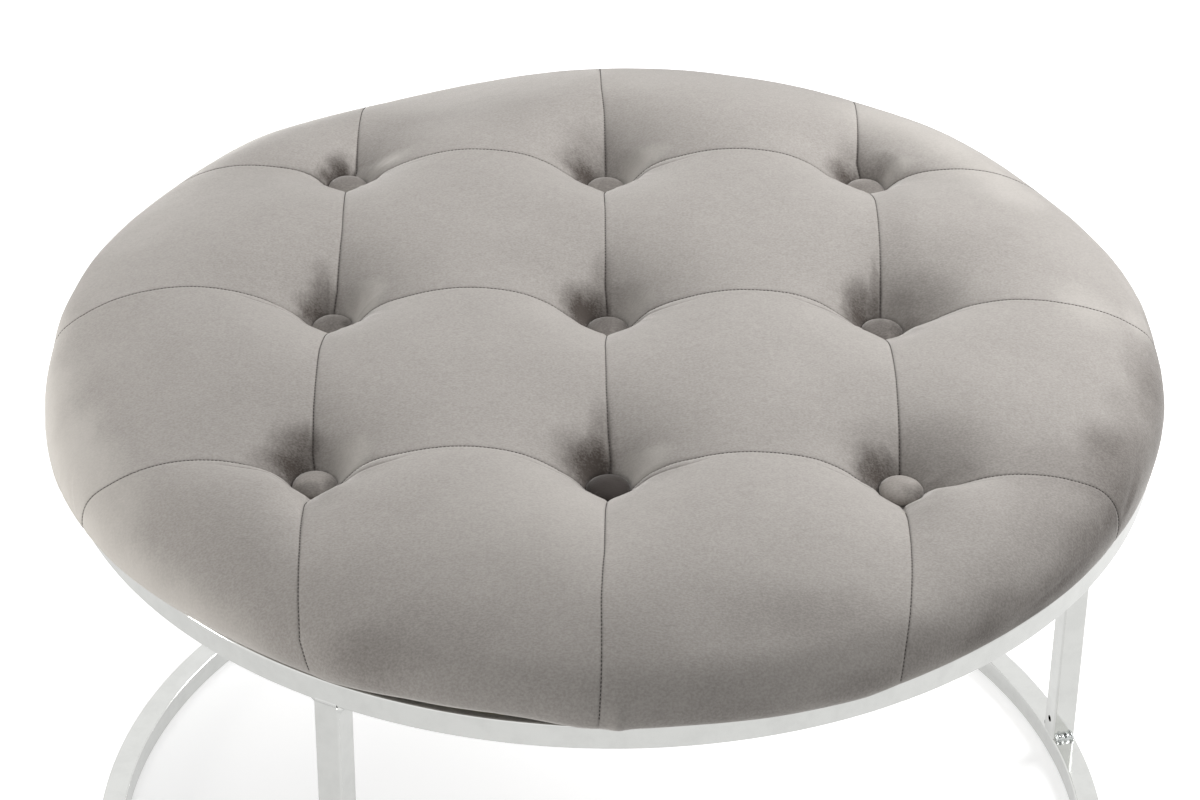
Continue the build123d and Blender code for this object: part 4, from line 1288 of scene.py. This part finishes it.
def leg_head_extras(piece):
    """What else is left of each head weld: the groove filled flush on both faces, and one stray drop."""
    groove = ((-0.9, 0.5), (-0.7, 0.0), (2.1, 0.0), (2.3, 0.5))
    built = bmesh.new()
    built.from_mesh(piece.data)
    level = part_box("seat_ring")[0].z / MM
    for bearing in LEG_BEARINGS:
        for face in (1, -1):
            rows = []
            for rise, sunk in groove:
                row = []
                for share in np.linspace(-1, 1, 9):
                    radial = face * (TUBE / 2 + 0.06 - sunk)
                    across = share * (TUBE / 2 - TUBE_CORNER + 0.4) - TUBE / 2
                    row.append(built.verts.new(beside_leg(bearing, 1, radial, across, level + rise)))
                rows.append(row)
            for a in range(3):
                for b in range(8):
                    quad = (rows[a][b], rows[a][b + 1], rows[a + 1][b + 1], rows[a + 1][b])
                    built.faces.new(quad if face > 0 else quad[::-1])
    drop = Matrix.Translation(beside_leg(LEG_BEARINGS[0], 1, TUBE / 2 - 1.2, 0.3, level - 1.6))
    made = bmesh.ops.create_icosphere(built, subdivisions=3, radius=2.3 * MM, matrix=drop)["verts"]
    spread = lumps(np.array([v.co for v in made]) / MM, 1.6)
    for vert, amount in zip(made, spread):
        vert.co += (vert.co - drop.translation) * 0.22 * float(amount)
    for polygon in built.faces:
        polygon.smooth = True
    built.to_mesh(piece.data)
    built.free()


weld_piece(
    "foot_weld_beads", "base_ring_welds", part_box("base_ring")[1].z / MM, 1, rough_section, weld_metal)
fillets = weld_piece(
    "head_weld_fillets", "seat_ring_welds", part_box("seat_ring")[0].z / MM, -1, smooth_section, polished)
leg_head_extras(fillets)


# Floor, light and camera


def studio():
    """A pale floor and soft, even light, with more of it from above and behind on the right."""
    p = Paint("studio_floor")
    camera_ray, mirrored = p.rays()
    seen = p.math("MULTIPLY", camera_ray, 0.49)
    p.set(Base_Color=p.mix(p.noise(3.0, 3.0, 0.5), (0.90, 0.90, 0.90), (0.92, 0.92, 0.92)), Roughness=0.9)
    p.set(Specular_IOR_Level=0.1, Emission_Color=(1, 1, 1), Emission_Strength=seen)
    plain = p.add("ShaderNodeEmission", (1, 1, 1), 0.90)
    share = p.math("MULTIPLY", mirrored, 0.65)
    mixed = p.add("ShaderNodeMixShader", share, p.shader.outputs[0], plain.outputs[0])
    p.put(p.tree.nodes["Material Output"].inputs["Surface"], mixed.outputs[0])
    size = 14.0
    corners = [(-size, -size, 0), (size, -size, 0), (size, size, 0), (-size, size, 0)]
    floor = mesh_object("studio_floor", corners, [(0, 1, 2, 3)], p.material, False)

    world = bpy.data.worlds.new("studio_world")
    world.use_nodes = True
    world.node_tree.nodes.clear()
    sky = Nodes(world.node_tree)
    either = sky.math("MAXIMUM", *sky.rays())
    plain = sky.add("ShaderNodeBackground", (0.995, 0.99, 0.98), 0.42)
    shown = sky.add("ShaderNodeBackground", (1.0, 1.0, 1.0), 1.0)
    mixed = sky.add("ShaderNodeMixShader", either, plain.outputs[0], shown.outputs[0])
    sky.add("ShaderNodeOutputWorld", mixed.outputs[0])
    bpy.context.scene.world = world

    for name, place, size, power, colour in (
        ("key_light", (1.4, 0.7, 1.6), 1.2, 35.0, (1.0, 1.0, 1.0)),
        ("top_light", (-0.2, 0.6, 2.6), 1.8, 17.0, (1.0, 1.0, 1.0)),
        ("side_light", (-2.5, -0.5, 0.5), 0.9, 30.0, (1.0, 0.98, 0.95)),
    ):
        lamp = bpy.data.lights.new(name, "AREA")
        lamp.shape = "DISK"
        lamp.size = size
        lamp.energy = power
        lamp.color = colour
        light = bpy.data.objects.new(name, lamp)
        light.location = place
        aim = Vector((0, 0, 0.45)) - Vector(place)
        light.rotation_euler = aim.to_track_quat("-Z", "Y").to_euler()
        bpy.context.scene.collection.objects.link(light)


def camera():
    """The photograph's view."""
    yaw, down, roll = math.radians(0.43), math.radians(33.99), math.radians(0.58)
    ahead = Vector((math.sin(yaw) * math.cos(down), math.cos(yaw) * math.cos(down), -math.sin(down)))
    right = Vector((math.cos(yaw), -math.sin(yaw), 0))
    up = right.cross(ahead)
    turned_right = right * math.cos(roll) + up * math.sin(roll)
    turned_up = up * math.cos(roll) - right * math.sin(roll)
    data = bpy.data.cameras.new("camera")
    data.sensor_width = 36.0
    data.lens = 107.76
    data.clip_start = 0.05
    data.clip_end = 60.0
    view = bpy.data.objects.new("camera", data)
    turn_to = Matrix((turned_right, turned_up, -ahead)).transposed().to_4x4()
    view.matrix_world = Matrix.Translation((-0.0213, -2.1980, 1.8979)) @ turn_to
    bpy.context.scene.collection.objects.link(view)
    bpy.context.scene.camera = view


studio()
camera()
bpy.context.scene.view_settings.view_transform = "Standard"
